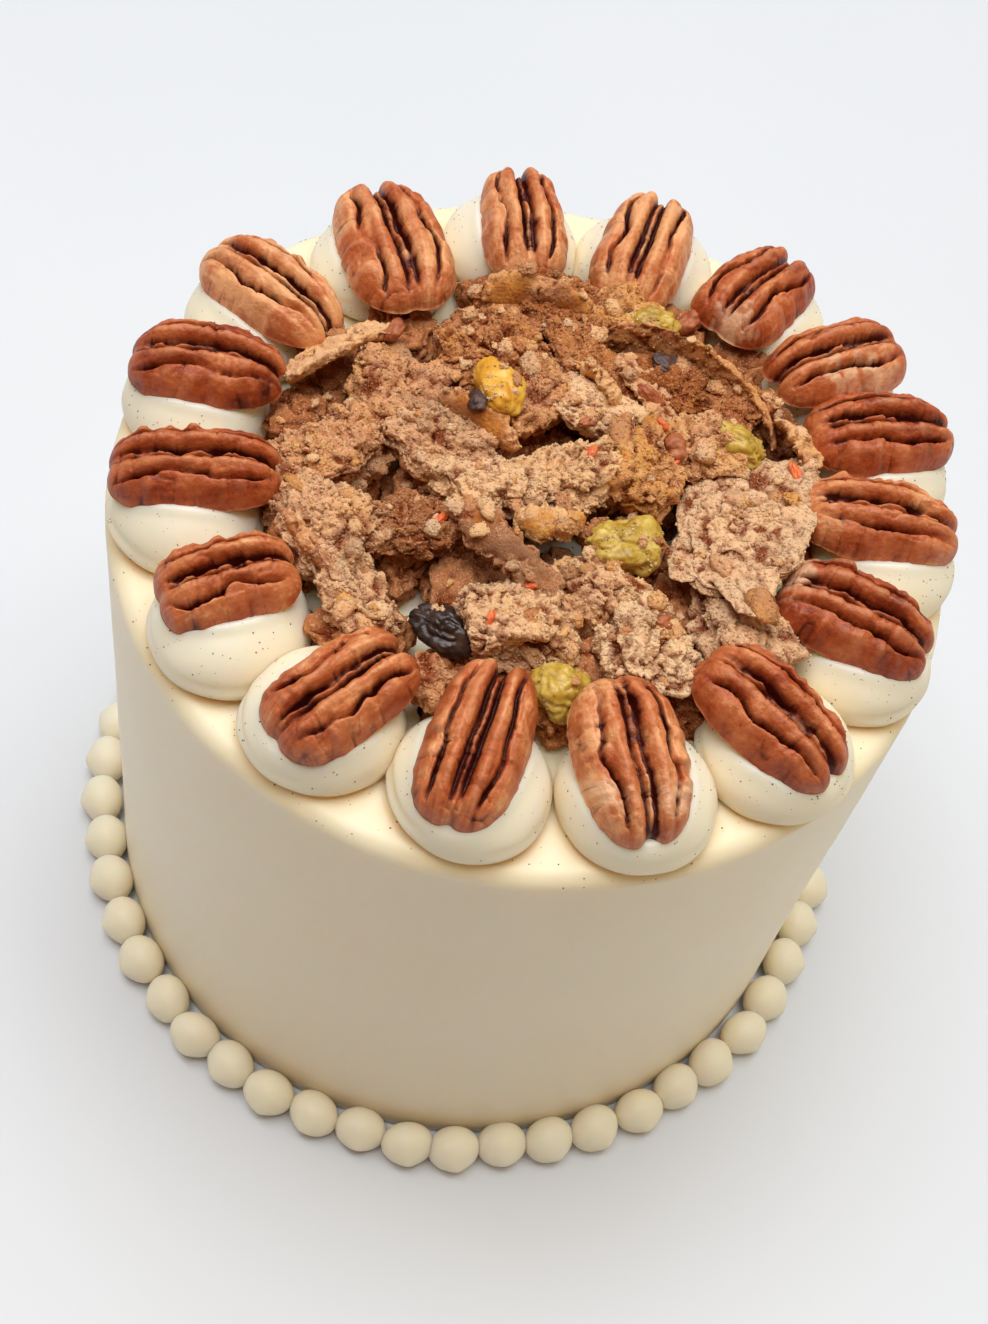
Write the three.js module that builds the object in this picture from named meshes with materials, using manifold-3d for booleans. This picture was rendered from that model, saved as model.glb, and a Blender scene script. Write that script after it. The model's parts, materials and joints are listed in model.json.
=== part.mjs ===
// A tall round carrot cake under smooth cream-cheese icing: a border of piped pearls round the foot,
// a ring of piped mounds on top with a pecan half pressed into each, and crumbled cake with dried
// fruit heaped in the middle. Millimetres, +Z up, origin on the ground at the cake's axis, front at -Y.
import * as THREE from "three";
import { mergeVertices } from "three/addons/utils/BufferGeometryUtils.js";
import Module from "manifold-3d";

const wasm = await Module();
wasm.setup();

// The iced cake
const CAKE_RADIUS = 82.5;
const CAKE_HEIGHT = 129;
const TOP_EDGE_RADIUS = 3.5;
const FOOT_EDGE_RADIUS = 1.5;
const CAKE_SIDES = 72;

// Clear space left between pieces that lie against each other, and the room cut for a faceted one
const GAP = 0.3;
const ROOM = 0.39;

// The pearls round the foot
const PEARL_COUNT = 50;
const PEARL_OUTWARD = 4.7;
const PEARL_ALONG = 5.9;
const PEARL_UPWARD = 5.1;
const PEARL_TIP = 0.9;
const PEARL_RING_RADIUS = CAKE_RADIUS + GAP + PEARL_OUTWARD;
const PEARL_CENTRE_HEIGHT = 4.4;
const PEARL_UNEVENNESS = 0.03;
const PEARL_WAVER = 0.5;
const PEARL_SEED = 5;

// The piped mounds
const MOUND_RADIUS = 14.6;
const MOUND_HEIGHT = 12.5;
const MOUND_SIDES = 12;
const MOUND_STEPS = 4;
// Shares of its radius by which a mound is tucked in at the foot, and of its height at which it is widest
const MOUND_TUCK = 0.07;
const MOUND_WAIST = 0.18;

// The pecan halves
const PECAN_THICKNESS = 8.6;
const PECAN_SUNK = 3;
const PECAN_NOTCH = 4.5;
const PECAN_EDGE = 1.2;
const PECAN_UNDERCUT = 0.9;
// Furrows along a pecan half: depth as a share of its thickness, place and width as shares of half
// its breadth
const FURROWS = [
  { depth: 0.42, at: 0.16, width: 0.1 },
  { depth: 0.14, at: 0, width: 0.1 },
  { depth: 0.1, at: 0.62, width: 0.1 },
];

// Each mound with its pecan, anticlockwise from the right-hand side: azimuth and distance of both,
// then how the pecan was laid. Angles are in degrees, `turn` away from pointing straight outward and
// `dip` the fall of its outer end; `size` is length and width, and `notch` the end where the lobes part.
const SERVINGS = [
  { mound: [2.5, 67.4], pecan: [4.4, 64.7], turn: 0.8, dip: 4, size: [32, 18], notch: "outer" },
  { mound: [21.5, 69], pecan: [23, 68.2], turn: -3, dip: 3, size: [30.8, 18.5], notch: "outer" },
  { mound: [40, 67.8], pecan: [39.1, 67.4], turn: -2.2, dip: 2, size: [31, 18], notch: "inner" },
  { mound: [57.5, 67.5], pecan: [58.6, 65.7], turn: 1.8, dip: 3, size: [28.5, 19], notch: "outer" },
  { mound: [80.8, 65.8], pecan: [80.9, 62.1], turn: 2.4, dip: 0, size: [30.6, 18.5], notch: "outer" },
  { mound: [106, 64.8], pecan: [104.6, 62.6], turn: 2.7, dip: 0, size: [29.6, 17.5], notch: "outer" },
  { mound: [131, 63.8], pecan: [131, 61], turn: -12.1, dip: 2, size: [35.4, 22], notch: "outer" },
  { mound: [157.5, 67], pecan: [156.3, 65.3], turn: -4.3, dip: 2, size: [32.5, 18.5], notch: "inner" },
  { mound: [178.5, 67.5], pecan: [176.8, 66.4], turn: 7.5, dip: 3, size: [30, 18], notch: "inner" },
  { mound: [-159.5, 66.8], pecan: [-161.4, 64.9], turn: -6, dip: 4, size: [32, 17], notch: "inner" },
  { mound: [-136, 66.5], pecan: [-138.9, 65.3], turn: -10.7, dip: 6, size: [25.5, 17], notch: "inner" },
  { mound: [-114, 66.5], pecan: [-112.3, 64.5], turn: -17.1, dip: 8, size: [28.5, 18], notch: "inner" },
  { mound: [-89.5, 66.5], pecan: [-89.9, 62.8], turn: -6.3, dip: 10, size: [32, 18], notch: "inner" },
  { mound: [-64.5, 67.5], pecan: [-65.9, 64.6], turn: 0.4, dip: 10, size: [31.3, 20], notch: "outer" },
  { mound: [-40.5, 68.6], pecan: [-41.7, 65.8], turn: 9.8, dip: 8, size: [31.7, 18.5], notch: "outer" },
  { mound: [-17.5, 68], pecan: [-16.9, 64.8], turn: 4.2, dip: 6, size: [30.5, 19], notch: "outer" },
];

// The heap of crumbled cake
const HEAP_CORE_RADIUS = 51;
const HEAP_CORE_HEIGHT = 6;
const HEAP_SEED = 20;
const CRUMB_RINGS = [
  { count: 1, distance: 0 },
  { count: 5, distance: 14 },
  { count: 9, distance: 29 },
  { count: 16, distance: 44 },
];
const CRUMB_HALF_LENGTH = [8, 12];
const CRUMB_HALF_HEIGHT = [4, 6.5];
const CRUMB_SLIMNESS = [0.65, 0.9];
const CRUMB_MIDDLE_HEIGHT = [5.5, 10];
const CRUMB_ROUGHNESS = 0.22;
const SLAB_ROUGHNESS = 0.1;

// Slabs and strips of crust that lie on the heap: place, half sizes, turn and tilt
const SLABS = [
  { at: [37, -5, 12], half: [15, 11, 3.6], turn: 70, tilt: 10 },
  { at: [22, 33, 13], half: [16, 3.5, 4.5], turn: -10, tilt: 4 },
  { at: [-6, 14, 13], half: [10, 14, 4.5], turn: 15, tilt: -8 },
  { at: [-43, 10, 10], half: [12, 4, 4.5], turn: 60, tilt: 12 },
  { at: [16, 6, 13], half: [4, 13, 5], turn: -12, tilt: 8 },
];

// Dried fruit caught in the heap: middle of each, half sizes, turn. Each lies in a crumb of its own.
const FRUIT_BED = [9, 8, 5];
const FRUIT_WRINKLING = 0.16;
const FRUITS = [
  { name: "raisin", at: [-10, -41, 9], half: [6.0, 4.0, 4.0], turn: -20, kind: "raisin" },
  { name: "golden_raisin_front", at: [12.4, -47.5, 8], half: [5.2, 4.8, 4.4], turn: -35, kind: "golden" },
  { name: "golden_raisin_middle", at: [17.5, -16.5, 13.5], half: [7.2, 5.8, 4.6], turn: 15, kind: "golden" },
  { name: "golden_raisin_right", at: [35, 14, 12.5], half: [6.0, 4.6, 4.2], turn: -25, kind: "golden" },
  { name: "golden_raisin_back", at: [14.5, 41, 11], half: [6.0, 4.2, 4.0], turn: 5, kind: "golden" },
  { name: "dried_fruit_piece", at: [-11.5, 11, 16.5], half: [4.4, 7.0, 3.8], turn: 25, kind: "fruit" },
];

const TURN = Math.PI * 2;

function material(name, colour, roughness) {
  return new THREE.MeshStandardMaterial({ name, color: colour, roughness, metalness: 0 });
}

function icing() {
  return material("icing", "#fbf6e4", 0.5);
}

function pecanSkin() {
  return material("pecan", "#8f5230", 0.5);
}

function cakeCrumb() {
  return material("cake_crumb", "#b98b68", 0.95);
}

const FRUIT_SKINS = {
  raisin: () => material("raisin", "#3a2a24", 0.45),
  golden: () => material("golden_raisin", "#b39a48", 0.4),
  fruit: () => material("dried_fruit", "#dca24e", 0.5),
};

// Numbers from 0 to 1 that come out the same on every run.
function seededRandom(seed) {
  let state = seed;
  return () => {
    state = (state + 0x6d2b79f5) | 0;
    let bits = Math.imul(state ^ (state >>> 15), 1 | state);
    bits = (bits + Math.imul(bits ^ (bits >>> 7), 61 | bits)) ^ bits;
    return ((bits ^ (bits >>> 14)) >>> 0) / 4294967296;
  };
}

function degrees(angle) {
  return THREE.MathUtils.degToRad(angle);
}

function solidFrom(geometry) {
  const bare = geometry.clone();
  bare.deleteAttribute("normal");
  bare.deleteAttribute("uv");
  const merged = mergeVertices(bare, 1e-4);
  const vertProperties = Float32Array.from(merged.attributes.position.array);
  const triVerts = Uint32Array.from(merged.index.array);
  return new wasm.Manifold(new wasm.Mesh({ numProp: 3, vertProperties, triVerts }));
}

function geometryFrom(solid) {
  const { vertProperties, triVerts } = solid.getMesh();
  const geometry = new THREE.BufferGeometry();
  geometry.setAttribute("position", new THREE.BufferAttribute(vertProperties, 3));
  geometry.setIndex(new THREE.BufferAttribute(triVerts, 1));
  geometry.computeVertexNormals();
  return geometry;
}

function namedMesh(name, solid, skin) {
  const mesh = new THREE.Mesh(geometryFrom(solid), skin);
  mesh.name = name;
  return mesh;
}

// A profile in (distance from the axis, height), turned about +Z.
function turned(profile, sides) {
  return new THREE.LatheGeometry(profile, sides).rotateX(Math.PI / 2);
}

function arc(centreX, centreY, radius, from, to, steps) {
  return Array.from({ length: steps + 1 }, (_, i) => {
    const angle = from + ((to - from) * i) / steps;
    return new THREE.Vector2(centreX + radius * Math.cos(angle), centreY + radius * Math.sin(angle));
  });
}

function icedCake() {
  const foot = arc(CAKE_RADIUS - FOOT_EDGE_RADIUS, FOOT_EDGE_RADIUS, FOOT_EDGE_RADIUS, -Math.PI / 2, 0, 1);
  const shoulder = CAKE_HEIGHT - TOP_EDGE_RADIUS;
  const rim = arc(CAKE_RADIUS - TOP_EDGE_RADIUS, shoulder, TOP_EDGE_RADIUS, 0, Math.PI / 2, 3);
  const profile = [new THREE.Vector2(0, 0), ...foot, ...rim, new THREE.Vector2(0, CAKE_HEIGHT)];
  return namedMesh("iced_cake", solidFrom(turned(profile, CAKE_SIDES)), icing());
}

// One pearl standing on the ground, with the tip that the nozzle leaves pointing outward along +X.
function pearl(size) {
  const ball = new THREE.SphereGeometry(size, 8, 4).rotateZ(-Math.PI / 2);
  ball.scale(PEARL_OUTWARD, PEARL_ALONG, PEARL_UPWARD);
  const { position } = ball.attributes;
  for (let i = 0; i < position.count; i += 1) {
    const tip = position.getX(i) > 0.99 * size * PEARL_OUTWARD ? PEARL_TIP : 0;
    position.setX(i, position.getX(i) + tip);
    position.setZ(i, Math.max(0, position.getZ(i) + PEARL_CENTRE_HEIGHT));
  }
  return solidFrom(ball);
}

function pearlBorder() {
  const random = seededRandom(PEARL_SEED);
  const pearls = Array.from({ length: PEARL_COUNT }, (_, i) => {
    const size = 1 - PEARL_UNEVENNESS * random();
    const out = PEARL_RING_RADIUS + PEARL_WAVER * random();
    return pearl(size).translate([out, 0, 0]).rotate([0, 0, (360 * i) / PEARL_COUNT]);
  });
  return namedMesh("pearl_border", wasm.Manifold.union(pearls), icing());
}

// A piped mound about its own axis, `grow` larger all over: a round blob, tucked in at its foot.
function moundSolid(grow) {
  const radius = MOUND_RADIUS + grow;
  const height = MOUND_HEIGHT + grow;
  const dome = Array.from({ length: MOUND_STEPS + 1 }, (_, i) => {
    const angle = (Math.PI / 2) * (i / MOUND_STEPS);
    const rise = MOUND_WAIST + (1 - MOUND_WAIST) * Math.sin(angle);
    return new THREE.Vector2(radius * Math.cos(angle), height * rise);
  });
  dome[MOUND_STEPS].x = 0;
  const foot = new THREE.Vector2(radius * (1 - MOUND_TUCK), 0);
  const profile = [new THREE.Vector2(0, 0), foot, ...dome];
  return solidFrom(turned(profile, MOUND_SIDES));
}

// Height of a pecan half's rounded side across its width, from -1 to 1: a lobe on either side of a
// sunk midrib, each lobe folded lengthwise.
function pecanRelief(across) {
  const side = Math.abs(across);
  const dome = Math.sqrt(1 - 0.93 * side * side);
  const furrow = ({ depth, at, width }) => depth * Math.exp(-(((side - at) / width) ** 2));
  return FURROWS.reduce((rise, one) => rise - furrow(one), dome);
}

// The outline and thickness of a pecan half along its length, from -1 to 1.
function pecanTaper(along) {
  return Math.max(0, 1 - Math.abs(along) ** 2.6) ** 0.55;
}

// One pecan half, long in X with its notched end at +X, flat side down at z = 0.
function pecanSolid({ size: [length, width] }) {
  const stations = [-0.97, -0.78, -0.4, 0, 0.4, 0.78, 0.97];
  const across = [-1, -0.82, -0.62, -0.4, -0.16, 0, 0.16, 0.4, 0.62, 0.82, 1];
  const under = [0.5, -0.5];
  const ringSize = across.length + under.length;
  const points = [];
  for (const along of stations) {
    const taper = pecanTaper(along);
    const parting = PECAN_NOTCH * THREE.MathUtils.smoothstep(along, 0.3, 1);
    const pull = (v) => parting * Math.exp(-((v / 0.3) ** 2));
    for (const v of across) {
      const rise = PECAN_THICKNESS * (0.3 + 0.7 * pecanRelief(v) * taper);
      points.push([(along * length) / 2 - pull(v), (v * width * taper) / 2, Math.max(rise, PECAN_EDGE)]);
    }
    for (const v of under) {
      const rise = PECAN_UNDERCUT * (1 - taper);
      points.push([(along * length) / 2 - pull(v), (v * width * taper) / 2, rise]);
    }
  }
  const faces = [];
  for (let s = 0; s < stations.length - 1; s += 1) {
    for (let i = 0; i < ringSize; i += 1) {
      const a = s * ringSize + i;
      const b = s * ringSize + ((i + 1) % ringSize);
      faces.push([a, a + ringSize, b], [b, a + ringSize, b + ringSize]);
    }
  }
  for (const start of [0, (stations.length - 1) * ringSize]) {
    const ring = points.slice(start, start + ringSize);
    const middle = points.length;
    points.push([0, 1, 2].map((axis) => ring.reduce((sum, p) => sum + p[axis], 0) / ringSize));
    for (let i = 0; i < ringSize; i += 1) {
      const a = start + i;
      const b = start + ((i + 1) % ringSize);
      faces.push(start === 0 ? [a, b, middle] : [b, a, middle]);
    }
  }
  const geometry = new THREE.BufferGeometry();
  geometry.setAttribute("position", new THREE.Float32BufferAttribute(points.flat(), 3));
  geometry.setIndex(faces.flat());
  return solidFrom(geometry);
}

// The bed that a pecan needs: its smooth outline, a gap larger than the nut.
function pecanBed({ size: [length, width] }) {
  const bed = new THREE.SphereGeometry(1, 10, 5).rotateX(Math.PI / 2);
  const { position } = bed.attributes;
  for (let i = 0; i < position.count; i += 1) {
    const squareness = 1 + 0.2 * Math.abs(Math.sin(2 * Math.atan2(position.getY(i), position.getX(i))));
    const height = position.getZ(i);
    position.setX(i, position.getX(i) * squareness * (length / 2 + 4 * GAP));
    position.setY(i, position.getY(i) * squareness * (width / 2 + 3 * GAP));
    const above = Math.max(0, height) ** 0.7 * (PECAN_THICKNESS + 3 * GAP);
    position.setZ(i, height > 0 ? above : Math.max(height * 3, -1) * 2 * GAP);
  }
  return solidFrom(bed);
}

// A pecan's place on the cake's top: along its own length, tilted, pressed into its mound.
function layPecan(solid, serving) {
  const [azimuth, distance] = serving.pecan;
  const facing = serving.notch === "outer" ? 0 : 180;
  const height = MOUND_HEIGHT - PECAN_SUNK;
  return solid
    .rotate([0, 0, facing])
    .rotate([0, serving.dip, 0])
    .translate([0, 0, height])
    .rotate([0, 0, serving.turn])
    .translate([distance, 0, 0])
    .rotate([0, 0, azimuth]);
}

function moundCentre({ mound: [azimuth, distance] }) {
  return new THREE.Vector2(distance, 0).rotateAround(new THREE.Vector2(), degrees(azimuth));
}

function layMound(solid, serving) {
  const centre = moundCentre(serving);
  return solid.rotate([0, 0, serving.mound[0]]).translate([centre.x, centre.y, 0]);
}

// The side of the plane midway to a neighbour is kept, where two mounds press together.
function pressedAgainst(solid, serving, neighbour) {
  const here = moundCentre(serving);
  const there = moundCentre(neighbour);
  const away = here.clone().sub(there).normalize();
  const middle = here.clone().add(there).multiplyScalar(0.5);
  return solid.trimByPlane([away.x, away.y, 0], middle.dot(away) + GAP / 2);
}

// A ball with few sides, its corners shared so that each can be moved.
function facetedBall(detail) {
  const ball = new THREE.IcosahedronGeometry(1, detail).deleteAttribute("normal").deleteAttribute("uv");
  return mergeVertices(ball, 1e-4);
}

function moveCorners(shape, sizeOf) {
  const { position } = shape.attributes;
  for (let i = 0; i < position.count; i += 1) {
    const size = sizeOf();
    position.setXYZ(i, position.getX(i) * size, position.getY(i) * size, position.getZ(i) * size);
  }
}

// A crumb of cake: a rough lump with few sides.
function crumb({ at, half, turn = 0, tilt = 0 }, random, roughness = CRUMB_ROUGHNESS) {
  const lump = facetedBall(0);
  moveCorners(lump, () => 1 + roughness * (2 * random() - 1));
  lump.rotateX(random() * TURN).rotateZ(random() * TURN);
  lump.scale(...half);
  lump.rotateY(degrees(tilt)).rotateZ(degrees(turn));
  return solidFrom(lump).translate(at);
}

function between([least, most], random) {
  return least + (most - least) * random();
}

function scatteredCrumbs(random) {
  return CRUMB_RINGS.flatMap(({ count, distance }, ring) =>
    Array.from({ length: count }, (_, i) => {
      const azimuth = (TURN * (i + 0.35 * ring + 0.4 * (random() - 0.5))) / count;
      const out = distance + 3 * (random() - 0.5);
      const long = between(CRUMB_HALF_LENGTH, random);
      const half = [long, long * between(CRUMB_SLIMNESS, random), between(CRUMB_HALF_HEIGHT, random)];
      const at = [out * Math.cos(azimuth), out * Math.sin(azimuth), between(CRUMB_MIDDLE_HEIGHT, random)];
      return crumb({ at, half, turn: 360 * random(), tilt: 24 * (random() - 0.5) }, random);
    }),
  );
}

function heapCore() {
  const profile = [
    new THREE.Vector2(0, 0),
    new THREE.Vector2(HEAP_CORE_RADIUS, 0),
    new THREE.Vector2(HEAP_CORE_RADIUS - 3, HEAP_CORE_HEIGHT * 0.7),
    new THREE.Vector2(0, HEAP_CORE_HEIGHT),
  ];
  return solidFrom(turned(profile, 28));
}

// The heap, cut clear of everything that stands in it or leans on it.
function crumbleHeap(neighbours) {
  const random = seededRandom(HEAP_SEED);
  const slabs = SLABS.map((slab) => crumb(slab, random, SLAB_ROUGHNESS));
  const beds = FRUITS.map(({ at: [x, y, z] }) => {
    const under = [x, y, z - FRUIT_BED[2]];
    return crumb({ at: under, half: FRUIT_BED }, random);
  });
  const lumps = [heapCore(), ...scatteredCrumbs(random), ...slabs, ...beds];
  const whole = wasm.Manifold.union(lumps).trimByPlane([0, 0, 1], 0);
  const cut = whole.subtract(wasm.Manifold.union(neighbours));
  const pieces = cut.decompose();
  return pieces.reduce((largest, piece) => (piece.volume() > largest.volume() ? piece : largest));
}

// A shrivelled fruit, or the smooth room for it, `grow` larger all over.
function fruitSolid({ at, half, turn }, grow, wrinkleOf) {
  const skin = facetedBall(1);
  moveCorners(skin, wrinkleOf);
  skin.scale(half[0] + grow, half[1] + grow, half[2] + grow).rotateZ(degrees(turn));
  return solidFrom(skin).translate(at);
}

function servingName(index) {
  return String(index + 1).padStart(2, "0");
}

function carrotCake() {
  const cake = new THREE.Group();
  cake.add(icedCake(), pearlBorder());

  const top = new THREE.Group();
  top.position.z = CAKE_HEIGHT + GAP;
  const beds = SERVINGS.map((serving) => layPecan(pecanBed(serving), serving));
  const pecans = SERVINGS.map((serving) => layPecan(pecanSolid(serving), serving));
  const mounds = SERVINGS.map((serving, i) => {
    const next = (i + 1) % SERVINGS.length;
    const piped = layMound(moundSolid(0), serving);
    const onceTrimmed = pressedAgainst(piped, serving, SERVINGS.at(i - 1));
    const pressed = pressedAgainst(onceTrimmed, serving, SERVINGS[next]);
    return pressed.subtract(beds[i]).subtract(beds.at(i - 1)).subtract(beds[next]);
  });
  const moundRoom = SERVINGS.map((serving) => layMound(moundSolid(ROOM), serving));
  const fruitRoom = FRUITS.map((fruit) => fruitSolid(fruit, ROOM, () => 1));
  const heap = crumbleHeap([...moundRoom, ...beds, ...fruitRoom]);

  mounds.forEach((solid, i) => top.add(namedMesh(`icing_mound_${servingName(i)}`, solid, icing())));
  pecans.forEach((solid, i) => top.add(namedMesh(`pecan_half_${servingName(i)}`, solid, pecanSkin())));
  top.add(namedMesh("crumbled_cake", heap, cakeCrumb()));
  const random = seededRandom(HEAP_SEED + 1);
  for (const fruit of FRUITS) {
    const solid = fruitSolid(fruit, 0, () => 1 - FRUIT_WRINKLING * random());
    top.add(namedMesh(fruit.name, solid, FRUIT_SKINS[fruit.kind]()));
  }
  cake.add(top);
  return cake;
}

export default carrotCake();
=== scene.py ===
import itertools
import json
import math

import bmesh
import bpy
import numpy as np
from mathutils import Matrix, Vector
from mathutils.bvhtree import BVHTree

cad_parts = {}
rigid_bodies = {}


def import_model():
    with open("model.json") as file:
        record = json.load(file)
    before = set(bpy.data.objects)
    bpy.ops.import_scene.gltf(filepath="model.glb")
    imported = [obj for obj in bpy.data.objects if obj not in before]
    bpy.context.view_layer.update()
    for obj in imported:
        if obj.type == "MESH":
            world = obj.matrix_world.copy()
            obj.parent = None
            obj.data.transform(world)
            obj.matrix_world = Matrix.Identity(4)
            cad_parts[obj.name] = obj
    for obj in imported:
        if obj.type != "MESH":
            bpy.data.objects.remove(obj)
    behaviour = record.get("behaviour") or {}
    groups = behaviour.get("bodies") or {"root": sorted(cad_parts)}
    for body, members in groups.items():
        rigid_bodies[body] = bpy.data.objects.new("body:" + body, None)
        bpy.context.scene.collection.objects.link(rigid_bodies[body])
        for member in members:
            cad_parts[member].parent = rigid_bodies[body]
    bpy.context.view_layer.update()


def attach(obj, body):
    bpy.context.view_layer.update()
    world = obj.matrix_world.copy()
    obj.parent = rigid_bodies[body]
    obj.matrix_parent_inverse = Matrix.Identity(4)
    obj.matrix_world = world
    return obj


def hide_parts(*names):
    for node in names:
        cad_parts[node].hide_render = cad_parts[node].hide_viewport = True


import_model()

MM = 0.001


# ---- The iced cake ----
# Four layers of carrot sponge stand under one coat of cream-cheese icing, spread with a palette
# knife and drawn smooth round the side with a straight scraper. The scraper leaves faint upright
# ripples, and the upper edge is folded in softly by hand.

CAKE_RADIUS = 82.5
CAKE_HEIGHT = 129.0
RIM_ROUNDING = 3.4
CAKE_AROUND = 288


def lumps(points, size, seed):
    """Smooth unevenness from -1 to 1 at each point, in lumps of about that size."""
    place = points / size + 31.7 * seed
    cell = np.floor(place).astype(np.int64)
    inside = place - cell
    ease = inside**3 * (inside * (inside * 6 - 15) + 10)
    total = np.zeros(len(points))
    for corner in itertools.product((0, 1), repeat=3):
        c = cell + corner
        mixed = (c[:, 0] * 73856093) ^ (c[:, 1] * 19349663) ^ (c[:, 2] * 83492791)
        mixed = ((mixed ^ (mixed >> 13)) * 1274126177) & 0x7FFFFFFF
        value = ((mixed ^ (mixed >> 16)) & 0xFFFF) / 32767.5 - 1
        share = np.prod(np.where(corner, ease, 1 - ease), axis=1)
        total += value * share
    return total


def new_piece(name, points, faces, finish, smooth=True):
    """A mesh object from points in millimetres, with its material."""
    mesh = bpy.data.meshes.new(name)
    mesh.from_pydata((np.asarray(points) * MM).tolist(), [], faces)
    mesh.validate()
    mesh.polygons.foreach_set("use_smooth", [smooth] * len(mesh.polygons))
    mesh.materials.append(finish)
    piece = bpy.data.objects.new(name, mesh)
    bpy.context.collection.objects.link(piece)
    return piece


def spun(profile, around):
    """Rings of points from a profile of (radius, height)."""
    angle = np.linspace(0, 2 * math.pi, around, endpoint=False)
    return np.array([(r * math.cos(a), r * math.sin(a), z) for r, z in profile for a in angle])


def turned_faces(rings, around):
    """Quads between rings of points, the last point joined to the first."""
    faces = []
    for ring in range(rings - 1):
        for i in range(around):
            j = (i + 1) % around
            low, high = ring * around, (ring + 1) * around
            faces.append((low + i, low + j, high + j, high + i))
    return faces


def capped(faces, rings, around):
    """Closes both ends of the rings, each onto a point that follows the rings."""
    count = rings * around
    for i in range(around):
        j = (i + 1) % around
        faces += [(j, i, count), (count - around + i, count - around + j, count + 1)]
    return faces


def standing(points, around):
    """Closes rings of points onto a middle point at the foot and one in the last ring: points, faces."""
    rings = len(points) // around
    ends = [(0, 0, 0), (0, 0, float(points[-around:, 2].mean()))]
    return np.vstack([points, ends]), capped(turned_faces(rings, around), rings, around)


def node_maker(tree):
    """Adds a node of a kind, with settings and inputs by name, each a value or a socket to link."""

    def make(kind, inputs=None, **settings):
        node = tree.nodes.new(kind)
        for key, value in settings.items():
            setattr(node, key, value)
        for key, value in (inputs or {}).items():
            if isinstance(value, bpy.types.NodeSocket):
                tree.links.new(value, node.inputs[key])
            else:
                node.inputs[key].default_value = value
        return node

    return make


def new_finish(name):
    """An empty material: (material, node maker, object coordinates)."""
    finish = bpy.data.materials.new(name)
    finish.use_nodes = True
    finish.node_tree.nodes.clear()
    make = node_maker(finish.node_tree)
    return finish, make, make("ShaderNodeTexCoord").outputs["Object"]


def add_surface(make, colour, roughness, relief=None, shine=0.5, soft=(0.0, (1.0, 1.0, 1.0), 0.05)):
    """
    Ends a material in a Principled surface. Relief is a height, its strength and its reach in metres.
    Soft is how light spreads under the skin: its weight, radius and scale.
    """
    inputs = {"Base Color": colour, "Roughness": roughness, "Specular IOR Level": shine}
    inputs.update(zip(("Subsurface Weight", "Subsurface Radius", "Subsurface Scale"), soft))
    if relief:
        named = dict(zip(("Height", "Strength", "Distance"), relief))
        inputs["Normal"] = make("ShaderNodeBump", named).outputs[0]
    surface = make("ShaderNodeBsdfPrincipled", inputs)
    make("ShaderNodeOutputMaterial", {"Surface": surface.outputs["BSDF"]})


def painted_values(make, *names):
    """The numbers painted on the mesh under these names, as sockets."""
    return [make("ShaderNodeAttribute", attribute_name=name).outputs["Fac"] for name in names]


def maths(make, how, *values):
    """A sum over numbers or sockets."""
    return make("ShaderNodeMath", dict(enumerate(values)), operation=how).outputs[0]


def colour_steps(make, factor, steps):
    """A colour ramp over the factor: steps are (position, colour)."""
    ramp = make("ShaderNodeValToRGB", {"Fac": factor})
    elements = ramp.color_ramp.elements
    while len(elements) < len(steps):
        elements.new(0.5)
    for element, (position, colour) in zip(elements, steps):
        element.position = position
        element.color = (*colour, 1.0)
    return ramp.outputs["Color"]


def noise(make, coordinates, scale, detail, roughness):
    """Procedural noise on object coordinates, scale in lumps per metre."""
    inputs = {"Vector": coordinates, "Scale": scale, "Detail": detail, "Roughness": roughness}
    return make("ShaderNodeTexNoise", inputs).outputs[0]


def blend(make, factor, first, second):
    """Mixes two colours, each a colour or a socket."""
    inputs = {"Factor": factor}
    for place, colour in ((6, first), (7, second)):
        inputs[place] = colour if isinstance(colour, bpy.types.NodeSocket) else (*colour, 1.0)
    return make("ShaderNodeMix", inputs, data_type="RGBA").outputs[2]


def between(make, value, low, high, least=0.0, most=1.0):
    """The value's place between low and high, as a number from least to most."""
    inputs = {"Value": value, "From Min": low, "From Max": high, "To Min": least, "To Max": most}
    return make("ShaderNodeMapRange", inputs).outputs[0]


def icing_finish(name, cream, shade):
    """Cream-cheese icing: dense ivory cream, a buttery sheen, and a painted yellow shade where more icing
    closes it in.
    """
    finish, make, coordinates = new_finish(name)
    drift = noise(make, coordinates, 28, 3, 0.5)
    grain = noise(make, coordinates, 900, 2, 0.6)
    colour = colour_steps(make, drift, [(0.32, shade), (0.68, cream)])
    # Painted yellow shade at the feet of the mounds and between neighbouring mounds
    colour = blend(make, painted_values(make, "painted_contact_shade")[0], colour, (0.92, 0.72, 0.44))
    gloss = between(make, drift, 0.0, 1.0, 0.34, 0.5)
    add_surface(make, colour, gloss, (grain, 0.05, 0.0004), 0.4, (0.7, (1.0, 0.72, 0.42), 0.006))
    return finish


coat_icing = icing_finish("icing_coat", (0.955, 0.838, 0.628), (0.94, 0.805, 0.58))


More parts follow.
